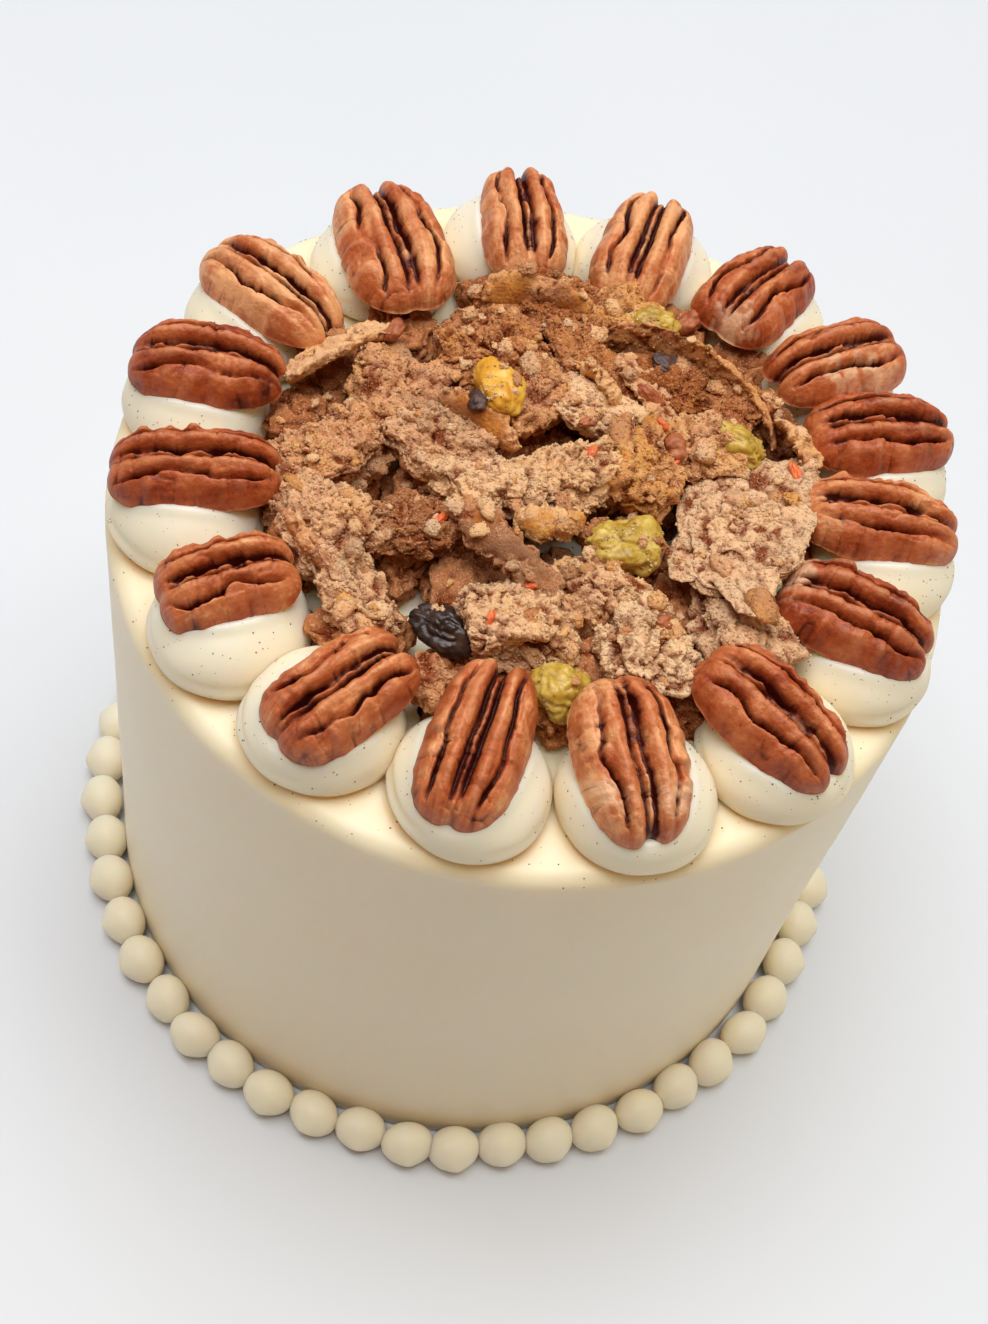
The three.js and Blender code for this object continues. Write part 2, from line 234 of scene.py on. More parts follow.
def iced_cake_piece():
    """The coat from its foot up the wall, round the rim and in over the top, rippled and a little dished."""
    foot = [(CAKE_RADIUS - 1.2, 0.0), (CAKE_RADIUS - 0.3, 0.5), (CAKE_RADIUS, 1.4)]
    wall = [(CAKE_RADIUS, z) for z in np.linspace(3, CAKE_HEIGHT - RIM_ROUNDING - 1, 44)]
    inner, shoulder = CAKE_RADIUS - RIM_ROUNDING, CAKE_HEIGHT - RIM_ROUNDING
    bend = np.linspace(0, math.pi / 2, 12)
    rim = [(inner + RIM_ROUNDING * math.cos(a), shoulder + RIM_ROUNDING * math.sin(a)) for a in bend]
    top = [(r, CAKE_HEIGHT) for r in np.linspace(inner - 2, 2, 38)]
    points = spun(foot + wall + rim + top, CAKE_AROUND)
    radius = np.hypot(points[:, 0], points[:, 1])
    outward = points * (1, 1, 0) / np.maximum(radius, 1)[:, None]
    side = np.clip((points[:, 2] - 6) / 20, 0, 1) * np.clip((radius - 60) / 20, 0, 1)
    upright = points * (1, 1, 0.12)
    swell = 0.34 * lumps(points, 38, 1) + 0.14 * lumps(upright, 9, 2) + 0.03 * lumps(upright, 2.5, 3) - 0.42
    points += outward * (swell * side)[:, None]
    on_top = np.clip((points[:, 2] - CAKE_HEIGHT + 9) / 8, 0, 1)
    edge = np.clip((radius - 68) / 12, 0, 1)
    points[:, 2] += on_top * (0.3 * lumps(points, 22, 4) - 0.35 - 0.35 * edge * (1 + lumps(points, 14, 5)))
    return new_piece("iced_cake_body", *standing(points, CAKE_AROUND), coat_icing)


cake_body = iced_cake_piece()
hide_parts("iced_cake")
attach(cake_body, "root")


# ---- The pearl border ----
# A row of icing pearls hides the joint between the cake and its board. Each is squeezed from a
# small round nozzle that is pushed down and drawn away outward, which leaves a short soft tip.

PEARL_COUNT = 50
PEARL_RING = CAKE_RADIUS + 5.1
# Half sizes outward, along the row and upward, the height of the middle, and of the flat foot
PEARL_HALF = (4.85, 5.85, 5.15)
PEARL_MIDDLE = 4.5
PEARL_LOW = 0.05


def pearl_shape():
    """One pearl over its own middle, its soft tip along +X, flattened where it stands."""
    rings, around = 17, 24
    long, wide, high = PEARL_HALF
    points = []
    for ring in range(1, rings + 1):
        polar = math.pi * ring / (rings + 1)
        x, girth = -math.cos(polar), math.sin(polar)
        tip = 0.13 * max(0.0, x) ** 14
        for i in range(around):
            a = 2 * math.pi * i / around
            points.append((x * (1 + tip) * long, wide * girth * math.cos(a), high * girth * math.sin(a)))
    points = np.array(points + [(-long, 0, 0), (long * 1.14, 0, 0)])
    points[:, 2] = np.maximum(points[:, 2] + PEARL_MIDDLE, PEARL_LOW)
    return points, capped(turned_faces(rings, around), rings, around)


def piece_from_nodes(name, host, pattern, finish, build, values):
    """Runs a Geometry Nodes tree on the host and keeps its result alone, as a plain mesh."""
    tree = bpy.data.node_groups.new(name + "_tree", "GeometryNodeTree")
    sockets = [("Geometry", "OUTPUT", "Geometry"), ("Geometry", "INPUT", "Geometry")]
    sockets += [(key, "INPUT", "Int" if isinstance(value, int) else "Float") for key, value in values.items()]
    for key, way, kind in sockets:
        tree.interface.new_socket(key, in_out=way, socket_type="NodeSocket" + kind)
    make = node_maker(tree)
    item = make("GeometryNodeObjectInfo", {"Object": pattern}).outputs["Geometry"]
    real = build(make, make("NodeGroupInput").outputs, item)
    make("NodeGroupOutput", {0: make("GeometryNodeSetMaterial", {0: real, "Material": finish}).outputs[0]})
    modifier = host.modifiers.new(name, "NODES")
    modifier.node_group = tree
    for socket in tree.interface.items_tree:
        if socket.name in values:
            modifier[socket.identifier] = values[socket.name]
    graph = bpy.context.evaluated_depsgraph_get()
    mesh = bpy.data.meshes.new_from_object(host.evaluated_get(graph), depsgraph=graph)
    mesh.name = name
    piece = bpy.data.objects.new(name, mesh)
    bpy.context.collection.objects.link(piece)
    for used in (host, pattern):
        bpy.data.objects.remove(used)
    if not mesh.materials:
        mesh.materials.append(finish)
    return piece


def random_value(make, seed, least, most):
    """A number, or a vector, drawn anew for each point."""
    first, kind = (0, "FLOAT_VECTOR") if isinstance(least, tuple) else (2, "FLOAT")
    inputs = {"Seed": seed, first: least, first + 1: most}
    return make("FunctionNodeRandomValue", inputs, data_type=kind).outputs[first // 2]


def real_copies(make, points, item, turn, size):
    """The item at every point, as real mesh."""
    placing = {"Points": points, "Instance": item, "Rotation": turn, "Scale": size}
    copies = make("GeometryNodeInstanceOnPoints", placing).outputs[0]
    return make("GeometryNodeRealizeInstances", {0: copies}).outputs[0]


def pearl_row(make, given, item):
    """Pearls at even steps round a circle, each a little different in size and lean."""
    circle = make("GeometryNodeMeshCircle", {"Vertices": given["Pearls"], "Radius": given["Ring Radius"]})
    place = make("GeometryNodeInputPosition").outputs[0]
    outward = make("ShaderNodeVectorMath", {0: place}, operation="NORMALIZE").outputs[0]
    facing = make("FunctionNodeAlignRotationToVector", {"Vector": outward}, axis="X", pivot_axis="Z")
    lean = random_value(make, given["Seed"], (-0.08, -0.25, -0.3), (0.08, 0.05, 0.3))
    turn = make("FunctionNodeEulerToRotation", {0: lean}).outputs[0]
    facings = {0: facing.outputs[0], 1: turn}
    rotation = make("FunctionNodeRotateRotation", facings, rotation_space="LOCAL").outputs[0]
    size = random_value(make, given["Seed"], (0.96, 0.98, 0.95), (1.01, 1.04, 1.02))
    waver = random_value(make, given["Seed"], -0.0001, 0.0006)
    shift = make("ShaderNodeVectorMath", {0: outward, "Scale": waver}, operation="SCALE").outputs[0]
    spots = make("GeometryNodeSetPosition", {"Geometry": circle.outputs[0], "Offset": shift}).outputs[0]
    real = real_copies(make, spots, item, rotation, size)
    x, y, z = make("ShaderNodeSeparateXYZ", {0: place}).outputs
    above = maths(make, "MAXIMUM", z, PEARL_LOW * MM)
    flattened = make("ShaderNodeCombineXYZ", {0: x, 1: y, 2: above}).outputs[0]
    return make("GeometryNodeSetPosition", {"Geometry": real, "Position": flattened}).outputs[0]


piped_icing = icing_finish("icing_piped", (0.955, 0.86, 0.685), (0.945, 0.84, 0.64))
pearl_pattern = new_piece("pearl_pattern", *pearl_shape(), piped_icing)
pearl_host = new_piece("pearl_host", [(0, 0, 0)], [], piped_icing)
row = {"Ring Radius": PEARL_RING * MM, "Pearls": PEARL_COUNT, "Seed": 4}
pearl_border = piece_from_nodes("pearl_border_row", pearl_host, pearl_pattern, piped_icing, pearl_row, row)
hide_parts("pearl_border")
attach(pearl_border, "root")


# ---- The piped mounds ----
# Sixteen mounds of the same icing are piped round the top with a large plain nozzle. Each spreads
# into a low dome and presses against its neighbours, with a faint fold where it meets the cake.

MOUND_RADIUS = 14.6
MOUND_HEIGHT = 12.5
MOUND_BASE = CAKE_HEIGHT - 0.4
# A nut's flat side lies about 3 mm down in its mound
PECAN_BASE = CAKE_HEIGHT + 0.3 + MOUND_HEIGHT - 3.0
# How far the yellow shade reaches from a mound's flank and up from its foot, and how strong it gets
FLANK_SHADE, FOOT_SHADE, MOST_SHADE = 2.4, 2.2, 0.85
# Mound azimuth and distance, pecan azimuth and distance, then the pecan's turn, dip, length, width
# and which way its notched end points. Degrees and millimetres.
SERVINGS = [
    (2.5, 67.4, 4.4, 64.7, 0.8, 4, 32, 18, "outer"),
    (21.5, 69, 23, 68.2, -3, 3, 30.8, 18.5, "outer"),
    (40, 67.8, 39.1, 67.4, -2.2, 2, 31, 18, "inner"),
    (57.5, 67.5, 58.6, 65.7, 1.8, 3, 28.5, 19, "outer"),
    (80.8, 65.8, 80.9, 62.1, 2.4, 0, 30.6, 18.5, "outer"),
    (106, 64.8, 104.6, 62.6, 2.7, 0, 29.6, 17.5, "outer"),
    (131, 63.8, 131, 61, -12.1, 2, 35.4, 22, "outer"),
    (157.5, 67, 156.3, 65.3, -4.3, 2, 32.5, 18.5, "inner"),
    (178.5, 67.5, 176.8, 66.4, 7.5, 3, 30, 18, "inner"),
    (-159.5, 66.8, -161.4, 64.9, -6, 4, 32, 17, "inner"),
    (-136, 66.5, -138.9, 65.3, -10.7, 6, 25.5, 17, "inner"),
    (-114, 66.5, -112.3, 64.5, -17.1, 8, 28.5, 18, "inner"),
    (-89.5, 66.5, -89.9, 62.8, -6.3, 10, 32, 18, "inner"),
    (-64.5, 67.5, -65.9, 64.6, 0.4, 10, 31.3, 20, "outer"),
    (-40.5, 68.6, -41.7, 65.8, 9.8, 8, 31.7, 18.5, "outer"),
    (-17.5, 68, -16.9, 64.8, 4.2, 6, 30.5, 19, "outer"),
]


def at_azimuth(azimuth, distance):
    """A point on the cake's top."""
    a = math.radians(azimuth)
    return np.array([distance * math.cos(a), distance * math.sin(a), 0.0])


def hollow(distance, width):
    """A smooth rise to 1 where the distance is 0."""
    return np.exp(-((distance / width) ** 2))


def mound_shape(seed):
    """A dome about its own axis, with a fold near the foot that comes and goes round it."""
    around = 96
    foot = [(0.9, 0.0), (0.955, 0.03), (0.985, 0.075), (1.0, 0.13)]
    dome = [(math.cos(a), 0.17 + 0.83 * math.sin(a)) for a in np.linspace(0.04, math.pi / 2 - 0.03, 36)]
    points = spun(foot + dome, around)
    away = points * (1, 1, 0) / np.maximum(np.hypot(points[:, 0], points[:, 1]), 0.05)[:, None]
    high = points[:, 2]
    fold = hollow(high - 0.2, 0.05) - hollow(high - 0.33, 0.06)
    where = np.clip(0.2 + lumps(away * 1.4, 1.0, seed), 0, 1)
    swell = 0.035 * lumps(points, 1.1, seed + 5) + 0.012 * lumps(points, 0.4, seed + 9)
    points += away * (swell + 0.03 * fold * where)[:, None]
    points[:, 2] *= 1 + 0.04 * lumps(points, 1.2, seed + 3)
    points[:, 2] = np.maximum(points[:, 2], 0)
    points *= (MOUND_RADIUS, MOUND_RADIUS, MOUND_HEIGHT)
    return standing(points, around)


def pecan_place(serving):
    """Where a pecan half lies on its mound, from its own frame to the cake's."""
    _, _, azimuth, distance, turn, dip, _, _, notch = serving
    facing = Matrix.Rotation(0 if notch == "outer" else math.pi, 4, "Z")
    tilt = Matrix.Rotation(math.radians(dip), 4, "Y")
    lift = Matrix.Translation((0, 0, PECAN_BASE))
    place = Matrix.Rotation(math.radians(azimuth), 4, "Z") @ Matrix.Translation((distance, 0, 0))
    return place @ Matrix.Rotation(math.radians(turn), 4, "Z") @ lift @ tilt @ facing


def moved(points, matrix):
    """The points in the frame that the matrix leads to."""
    turned = np.array(matrix)
    return points @ turned[:3, :3].T + turned[:3, 3]


def pressed_under_pecan(points, serving):
    """The icing gives way under the nut and swells a little round it."""
    place = pecan_place(serving)
    own = moved(points, place.inverted())
    reach = np.hypot(own[:, 0] / (serving[6] / 2), own[:, 1] / (serving[7] / 2))
    low = own[:, 2] < -7
    under = np.clip((0.97 - reach) / 0.12, 0, 1)
    sunk = np.minimum(own[:, 2], -0.6) * under + own[:, 2] * (1 - under)
    swell = 0.55 * hollow(reach - 1.1, 0.1) * np.clip((own[:, 2] + 5) / 4, 0, 1)
    own[:, 2] = np.where(low, own[:, 2], sunk + swell)
    return moved(own, place)


def paint_points(piece, name, values):
    """Keeps a number per point on the mesh, for its material to read."""
    layer = piece.data.attributes.new(name, "FLOAT", "POINT")
    layer.data.foreach_set("value", np.asarray(values, dtype=np.float32))


def points_of(piece):
    """The piece's points in millimetres."""
    return np.array([v.co for v in piece.data.vertices]) / MM


def painted_contact_shade(points, own=None):
    """Painted yellow shade at each point, from 0 to MOST_SHADE, stronger the nearer it is to the foot of a
    mound or the flank of its neighbour.
    """
    high = points[:, 2] - MOUND_BASE
    reach = MOUND_RADIUS * np.sqrt(np.clip(1 - (np.clip(high, 0, MOUND_HEIGHT) / MOUND_HEIGHT) ** 2, 0, 1))
    gap = np.full(len(points), np.inf)
    for other in SERVINGS:
        if other is not own:
            centre = at_azimuth(other[0], other[1])
            gap = np.minimum(gap, np.hypot(points[:, 0] - centre[0], points[:, 1] - centre[1]) - reach)
    near = np.exp(-np.maximum(gap, 0) / FLANK_SHADE)
    if own is not None:
        near = np.maximum(near, np.exp(-np.maximum(high, 0) / FOOT_SHADE))
    return MOST_SHADE * near * (points[:, 2] > CAKE_HEIGHT - 3)


for number, serving in enumerate(SERVINGS, 1):
    shape, shape_faces = mound_shape(number)
    centre = at_azimuth(serving[0], serving[1]) + (0, 0, MOUND_BASE)
    pressed = pressed_under_pecan(shape + centre, serving)
    mound = new_piece(f"icing_mound_piped_{number:02d}", pressed, shape_faces, piped_icing)
    paint_points(mound, "painted_contact_shade", painted_contact_shade(pressed, serving))
    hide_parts(f"icing_mound_{number:02d}")
    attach(mound, "root")
# The cake's top gets the same painted yellow shade beside the mounds' flanks
paint_points(cake_body, "painted_contact_shade", painted_contact_shade(points_of(cake_body)))


# ---- The pecan halves ----
# A shelled pecan half is pressed rounded side up into each mound while the icing is soft. It has two
# lobes, each rolled inward beside a sunken midrib and crinkled along its outer edge; they join at
# one end and part in a notch at the other. The skin is thin, red-brown and slightly oily.

PECAN_THICKNESS = 8.6
PECAN_ACROSS = 96
PECAN_ALONG = 110
# How pale each nut is, from 0 for deep red-brown to 1 for tan, in the order of the servings
PECAN_PALENESS = [0.45, 0.15, 0.4, 0.2, 0.85, 0.75, 0.65, 0.85, 0.1, 0.15, 0.4, 0.35, 0.35, 0.7, 0.25, 0.0]
# Where the skin has rubbed off a nut, by serving: place along and across it, and how far the patch reaches
RUBBED = {
    3: [(-0.3, 0.85, 0.3), (0.2, 0.9, 0.3)],
    4: [(-0.9, -0.3, 0.25)],
    14: [(0.62, 0.5, 0.24), (0.45, -0.75, 0.2)],
    16: [(-0.9, 0.1, 0.3)],
}


def pecan_shape(length, width, seed):
    """One half, long in X with the notch at +X: points, faces and what is painted on it."""
    t = np.linspace(-1, 1, PECAN_ALONG)
    q = np.linspace(-1, 1, PECAN_ACROSS)
    along = np.repeat(0.7 * np.sin(t * math.pi / 2) + 0.3 * t, PECAN_ACROSS)
    across = np.tile(0.5 * np.sin(q * math.pi / 2) + 0.5 * q, PECAN_ALONG)
    side, handed = np.abs(across), np.sign(across)
    x, y = along * np.sqrt(1 - across**2 / 2), across * np.sqrt(1 - along**2 / 2)
    reach = np.maximum(np.hypot(x, y), 1e-6)
    blunt = 2.9 + 0.4 * math.sin(5.3 * seed)
    square = ((np.abs(x) / reach) ** blunt + (np.abs(y) / reach) ** blunt) ** (-1 / blunt)
    bulge = 1 + (square - 1) * reach**2
    notch = (0.17 + 0.05 * math.sin(2.1 * seed)) * hollow(y, 0.15) * np.clip((along - 0.4) / 0.6, 0, 1) ** 2
    dimple = 0.04 * hollow(y, 0.12) * np.clip((-along - 0.5) / 0.5, 0, 1) ** 2
    x = (x * bulge - notch + dimple) * length / 2
    y = y * bulge * (1 - 0.05 * along) * width / 2

    place = np.column_stack([x, y, np.full_like(x, 37.0 * seed)])
    crosswise = lumps(place * (1, 0.3, 1), 2.3, seed + 6)
    crosswise += 0.55 * lumps(place * (1, 0.35, 1), 1.15, seed + 7)
    outer = np.clip((side - 0.58) / 0.22, 0, 1)
    y += 0.026 * outer * crosswise * handed * width / 2

    fall = (1 - np.abs(along) ** 3) ** 0.5 * (1 - side**2.5) ** 0.5
    line = np.column_stack([along, 0.1 * across, np.full_like(x, 3.7 * seed)])
    lobe = line + handed[:, None] * (3, 0, 0)
    wander = 0.06 * lumps(line, 0.32, seed) + 0.02 * lumps(line, 0.12, seed + 11)
    attached = np.clip((along + 0.95) * 3.2, 0, 1)
    broken = np.clip(0.85 + 0.6 * lumps(lobe, 0.3, seed + 1), 0.3, 1.2)
    trench = hollow(side - 0.11 - 0.6 * wander * handed, 0.042) * attached * broken
    rib = hollow(across - 0.8 * wander, 0.055) * np.clip(0.7 + 0.8 * lumps(line, 0.16, seed + 2), 0.1, 1.2)
    floor = hollow(across - 0.5 * wander, 0.155) * attached
    course = 0.55 + 1.7 * wander * handed + 0.05 * np.sin(5 * along * handed + seed)
    strength = np.clip(0.95 + 0.8 * lumps(lobe, 0.55, seed + 4), 0.25, 1.3)
    fold = hollow(side - course, 0.046) * strength * np.clip(3.0 - 3.1 * np.abs(along), 0, 1)
    roll = hollow(side - 0.33, 0.13) * attached
    roll += 0.7 * hollow(side - 0.76, 0.1) * np.clip(2.4 - 2.4 * np.abs(along), 0, 1)
    bent = place + 0.5 * crosswise[:, None]
    veins = 1 - np.abs(lumps(bent * (1, 0.5, 1), 1.7, seed + 8))
    cracks = 1 - np.abs(lumps(bent * (1, 0.6, 1), 3.4, seed + 12))
    wrinkles = lumps(place * (1, 0.55, 1), 0.75, seed + 9)
    relief = 0.95 - 0.34 * floor - 0.3 * trench + 0.18 * rib * attached - 0.38 * fold + 0.09 * roll
    relief += (0.035 + 0.105 * outer) * crosswise - 0.04 * veins**8 - 0.07 * cracks**14
    relief += 0.018 * wrinkles + 0.05 * lumps(place, 4.5, seed + 5)
    z = PECAN_THICKNESS * fall * relief
    # Painted shade in the midrib floor, trenches, folds and crinkle troughs, with the nut's own dark veins
    # and cracks; below zero on the rolls and crinkle tops, a painted highlight
    veins_and_painted_shading = 0.5 * floor * (1 - 0.7 * rib) + 0.85 * trench + 0.9 * fold
    veins_and_painted_shading += 0.2 * outer * np.clip(-crosswise, 0, 1) + 0.3 * veins**8 + 0.4 * cracks**14
    veins_and_painted_shading -= 0.4 * roll + 0.25 * np.clip(crosswise, 0, 1)
    veins_and_painted_shading = np.clip(veins_and_painted_shading, -1, 1)

    upper = np.column_stack([x, y, z])
    index = np.arange(len(upper)).reshape(PECAN_ALONG, PECAN_ACROSS)
    a, b, c, d = index[:-1, :-1], index[1:, :-1], index[1:, 1:], index[:-1, 1:]
    faces = np.stack([a, b, c, d], -1).reshape(-1, 4).tolist()
    edge = np.concatenate([index[:-1, 0], index[-1, :-1], index[:0:-1, -1], index[0, :0:-1]])
    under, wide, turned = [], edge.tolist(), range(len(edge))
    for share, drop in ((0.8, 0.9), (0.4, 1.3)):
        first = len(upper) + len(under)
        under += [(x[i] * share, y[i] * share, -drop) for i in edge]
        narrow = list(range(first, first + len(edge)))
        faces += [(wide[i], narrow[i], narrow[i - 1], wide[i - 1]) for i in turned]
        wide = narrow
    faces += [(wide[i], len(upper) + len(under), wide[i - 1]) for i in turned]
    rubbed = np.zeros_like(x)
    for spot_along, spot_across, far in RUBBED.get(seed, []):
        patch = 1.2 - np.hypot(along - spot_along, 0.5 * (across - spot_across)) / far
        rubbed = np.maximum(rubbed, np.clip(patch + 0.7 * lumps(place, 1.1, seed + 3), 0, 1))
    layers = {"veins_and_painted_shading": veins_and_painted_shading, "along": along, "across": across, "rubbed": rubbed}
    painted = {name: np.append(layer, np.zeros(len(under) + 1)) for name, layer in layers.items()}
    return np.vstack([upper, under, [(0, 0, -1.4)]]), faces, painted


def pecan_finish():
    finish, make, coordinates = new_finish("pecan_skin")
    veins_and_painted_shading, paleness, along, across, rubbed = painted_values(
        make, "veins_and_painted_shading", "paleness", "along", "across", "rubbed"
    )
    lengthwise = make("ShaderNodeCombineXYZ", {0: along, 1: across, 2: paleness}).outputs[0]
    stretched = make("ShaderNodeMapping", {"Vector": lengthwise, "Scale": (1.6, 7.0, 30.0)}).outputs[0]
    fibres = noise(make, coordinates, 1000, 4, 0.65)
    tone = maths(make, "MULTIPLY", noise(make, coordinates, 120, 4, 0.6), 0.8)
    for value, share in ((noise(make, stretched, 1.6, 4, 0.6), 0.35), (fibres, 0.22), (paleness, 0.3)):
        tone = maths(make, "MULTIPLY_ADD", value, share, tone)
    skin = colour_steps(make, tone, [
        (0.52, (0.19, 0.018, 0.003)), (0.69, (0.42, 0.078, 0.018)),
        (0.855, (0.61, 0.175, 0.054)), (1.0, (0.87, 0.42, 0.18)),
    ])
    # Painted highlight on the rolls and crests
    skin = blend(make, between(make, veins_and_painted_shading, -0.1, -0.55, 0.0, 0.35), skin, (0.86, 0.39, 0.17))
    skin = blend(make, between(make, rubbed, 0.1, 0.9, 0.0, 0.7), skin, (0.85, 0.52, 0.3))
    # Painted shade in the furrows, with the nut's own dark veins and cracks
    skin = blend(make, between(make, veins_and_painted_shading, 0.12, 0.64), skin, (0.07, 0.004, 0.0005))
    add_surface(make, skin, between(make, fibres, 0.3, 0.7, 0.28, 0.52), (fibres, 0.55, 0.0006), 0.42)
    return finish


pecan_skin = pecan_finish()
for number, serving in enumerate(SERVINGS, 1):
    nut, nut_faces, painted = pecan_shape(serving[6], serving[7], number)
    pecan = new_piece(f"pecan_nut_{number:02d}", moved(nut, pecan_place(serving)), nut_faces, pecan_skin)
    for layer, values in painted.items():
        paint_points(pecan, layer, values)
    paint_points(pecan, "paleness", np.full(len(nut), PECAN_PALENESS[number - 1]))
    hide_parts(f"pecan_half_{number:02d}")
    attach(pecan, "root")


# ---- The crumbled cake ----
# Offcuts of the same carrot cake are torn by hand and heaped inside the ring: open, moist crumb on
# the torn faces, and here and there a thin brown crust. The icing shows in a few gaps between them.

HEAP_FLOOR = CAKE_HEIGHT - 0.3
# Where the icing shows between the offcuts
HEAP_GAPS = [(-7.5, 2.5), (-16.5, -34.0), (28.0, -27.0), (49.5, -3.0), (11.5, -58.0)]
GAP_CLEARANCE = 6


def grains(points, size, seed):
    """Rounded grains at each point, from 0 in the seams between grains to 1 on a grain's crown."""
    place = points / size + 13.1 * seed
    cell = np.floor(place).astype(np.int64)
    nearest = np.full(len(points), 9.0)
    for corner in itertools.product((-1, 0, 1), repeat=3):
        c = cell + corner
        mixed = ((c[:, 0] * 92837111) ^ (c[:, 1] * 689287499) ^ (c[:, 2] * 283923481)) & 0x7FFFFFFF
        mixed = ((mixed ^ (mixed >> 15)) * 2246822519) & 0x7FFFFFFFFFF
        spot = np.stack([(mixed >> s & 0x3FF) / 1023 for s in (5, 15, 25)], axis=1)
        nearest = np.minimum(nearest, ((place - c - spot) ** 2).sum(axis=1))
    return np.clip(1 - np.sqrt(nearest), 0, 1)


def ball(subdivisions):
    """A ball of even triangles about the origin, half size 1: points and faces."""
    mesh = bmesh.new()
    bmesh.ops.create_icosphere(mesh, subdivisions=subdivisions, radius=1)
    points = np.array([v.co for v in mesh.verts])
    faces = np.array([[v.index for v in f.verts] for f in mesh.faces])
    mesh.free()
    return points, faces


BALLS = {level: ball(level) for level in (2, 4, 5, 6)}


def roughened(points, outward, crust, seed, depth=1.0):
    """Breaks torn faces up into grains, tears and loose edges: the points, and the painted shade each gets
    for how hollow it is.
    """

    def drift(size, first):
        return np.stack([lumps(points, size, seed + first + k) for k in range(3)], axis=1)

    bent = points + 0.7 * drift(3.0, 20)
    coarse, fine = grains(bent, 2.2, seed) - 0.45, grains(bent, 0.95, seed + 1) - 0.45
    tears = (1 - np.abs(lumps(bent, 2.7, seed + 2))) ** 7 * np.clip(0.6 + lumps(points, 5.0, seed + 5), 0, 1)
    rolling, ragged = lumps(points, 5.5, seed + 9), lumps(points, 1.7, seed + 3)
    sharp = lumps(points, 0.65, seed + 4)
    push = 0.25 * coarse + 0.55 * fine + 0.6 * rolling + 0.5 * ragged + 0.45 * sharp - 1.3 * tears
    moved_by = outward * push[:, None] + 0.6 * drift(2.0, 30) + 0.35 * drift(0.9, 40)
    shade_in_hollows = np.clip(0.2 - 0.15 * coarse - 0.4 * fine - 0.35 * ragged - 0.3 * sharp + 0.8 * tears, 0, 1)
    return points + moved_by * (depth * (1 - 0.85 * crust))[:, None], shade_in_hollows * (1 - 0.8 * crust)


# A piece with less than this half thickness is a slab, whose flat sides are torn less deeply
SLAB_THINNESS = 3.0
# Depth and size of the lumps in a torn piece's form, for a piece of half size 1
CHUNK_SWELL = [(0.25, 0.8), (0.13, 0.4), (0.05, 0.2)]
FLAT_SIDES = 8


def torn_chunk(half, seed, detail=5, crust_way=None):
    """One torn piece about its own middle, with a few flat sides: points, faces, crust and painted shade in
    its hollows and cracks.
    """
    unit, faces = BALLS[detail]
    breaks = np.random.default_rng(seed)
    ways = np.vstack([breaks.normal(size=(FLAT_SIDES, 3)), np.eye(3), -np.eye(3)])
    ways /= np.linalg.norm(ways, axis=1)[:, None]
    far = np.append(breaks.uniform(0.8, 1.08, FLAT_SIDES), np.full(6, 1.0))
    form = unit * (np.clip(unit @ ways.T / far, 0, None) ** 10).sum(axis=1)[:, None] ** -0.1
    split = hollow(lumps(form, 0.6, seed + 5), 0.09) * np.clip(0.6 + lumps(form, 1.1, seed + 6), 0, 1)
    swell = sum(depth * lumps(form, size, seed + k) for k, (depth, size) in enumerate(CHUNK_SWELL))
    points = form * (1 + swell - 0.3 * split)[:, None] * half
    outward = unit / np.array(half)
    outward /= np.linalg.norm(outward, axis=1)[:, None]
    crust = np.zeros(len(points))
    if crust_way is not None:
        way = np.array(crust_way, float) / np.linalg.norm(crust_way)
        crust = np.clip((outward @ way - 0.55) / 0.2, 0, 1)
        crust *= np.clip(0.9 + 1.6 * lumps(points, 3.5, seed + 8), 0, 1)
    points, shade_in_hollows = roughened(points, outward, crust, seed, 0.5 if half[2] < SLAB_THINNESS else 1.0)
    return points, faces, crust, np.clip(shade_in_hollows + 0.6 * split * (1 - crust), 0, 1)


def turned_to(points, turn, tilt, roll=0.0):
    """The points turned about X, then Y, then Z, in degrees."""
    spin = Matrix.Rotation(math.radians(turn), 3, "Z") @ Matrix.Rotation(math.radians(tilt), 3, "Y")
    return points @ np.array(spin @ Matrix.Rotation(math.radians(roll), 3, "X")).T


def joined(shapes):
    """Several (points, faces) as one."""
    points, faces = zip(*shapes)
    starts = np.cumsum([0] + [len(of_one) for of_one in points[:-1]])
    return np.vstack(points), np.vstack([of_one + first for of_one, first in zip(faces, starts)]).tolist()


class Heap:
    """Gathers torn pieces for one mesh, with their crust, painted shade in the hollows, paleness and hue
    painted on.
    """

    def __init__(self):
        self.shapes, self.paint = [], []

    def add(self, chunk, at=(0, 0, 0), turn=0.0, tilt=0.0, roll=0.0, paleness=0.5, hue=0.5):
        points, faces, crust, shade_in_hollows = chunk
        placed = turned_to(points, turn, tilt, roll) + np.array(at) + (0, 0, HEAP_FLOOR)
        placed[:, 2] = np.maximum(placed[:, 2], HEAP_FLOOR)
        self.shapes.append((placed, np.asarray(faces)))
        layers = (crust, shade_in_hollows, paleness, hue)
        self.paint.append([np.broadcast_to(value, len(placed)) for value in layers])

    def take(self, other):
        self.shapes += other.shapes
        self.paint += other.paint

    def piece(self, name, finish):
        made = new_piece(name, *joined(self.shapes), finish)
        # The attribute hollow carries the painted shade in the hollows and cracks
        for layer, values in zip(("crust", "hollow", "paleness", "hue"), zip(*self.paint)):
            paint_points(made, layer, np.concatenate(values))
        return made


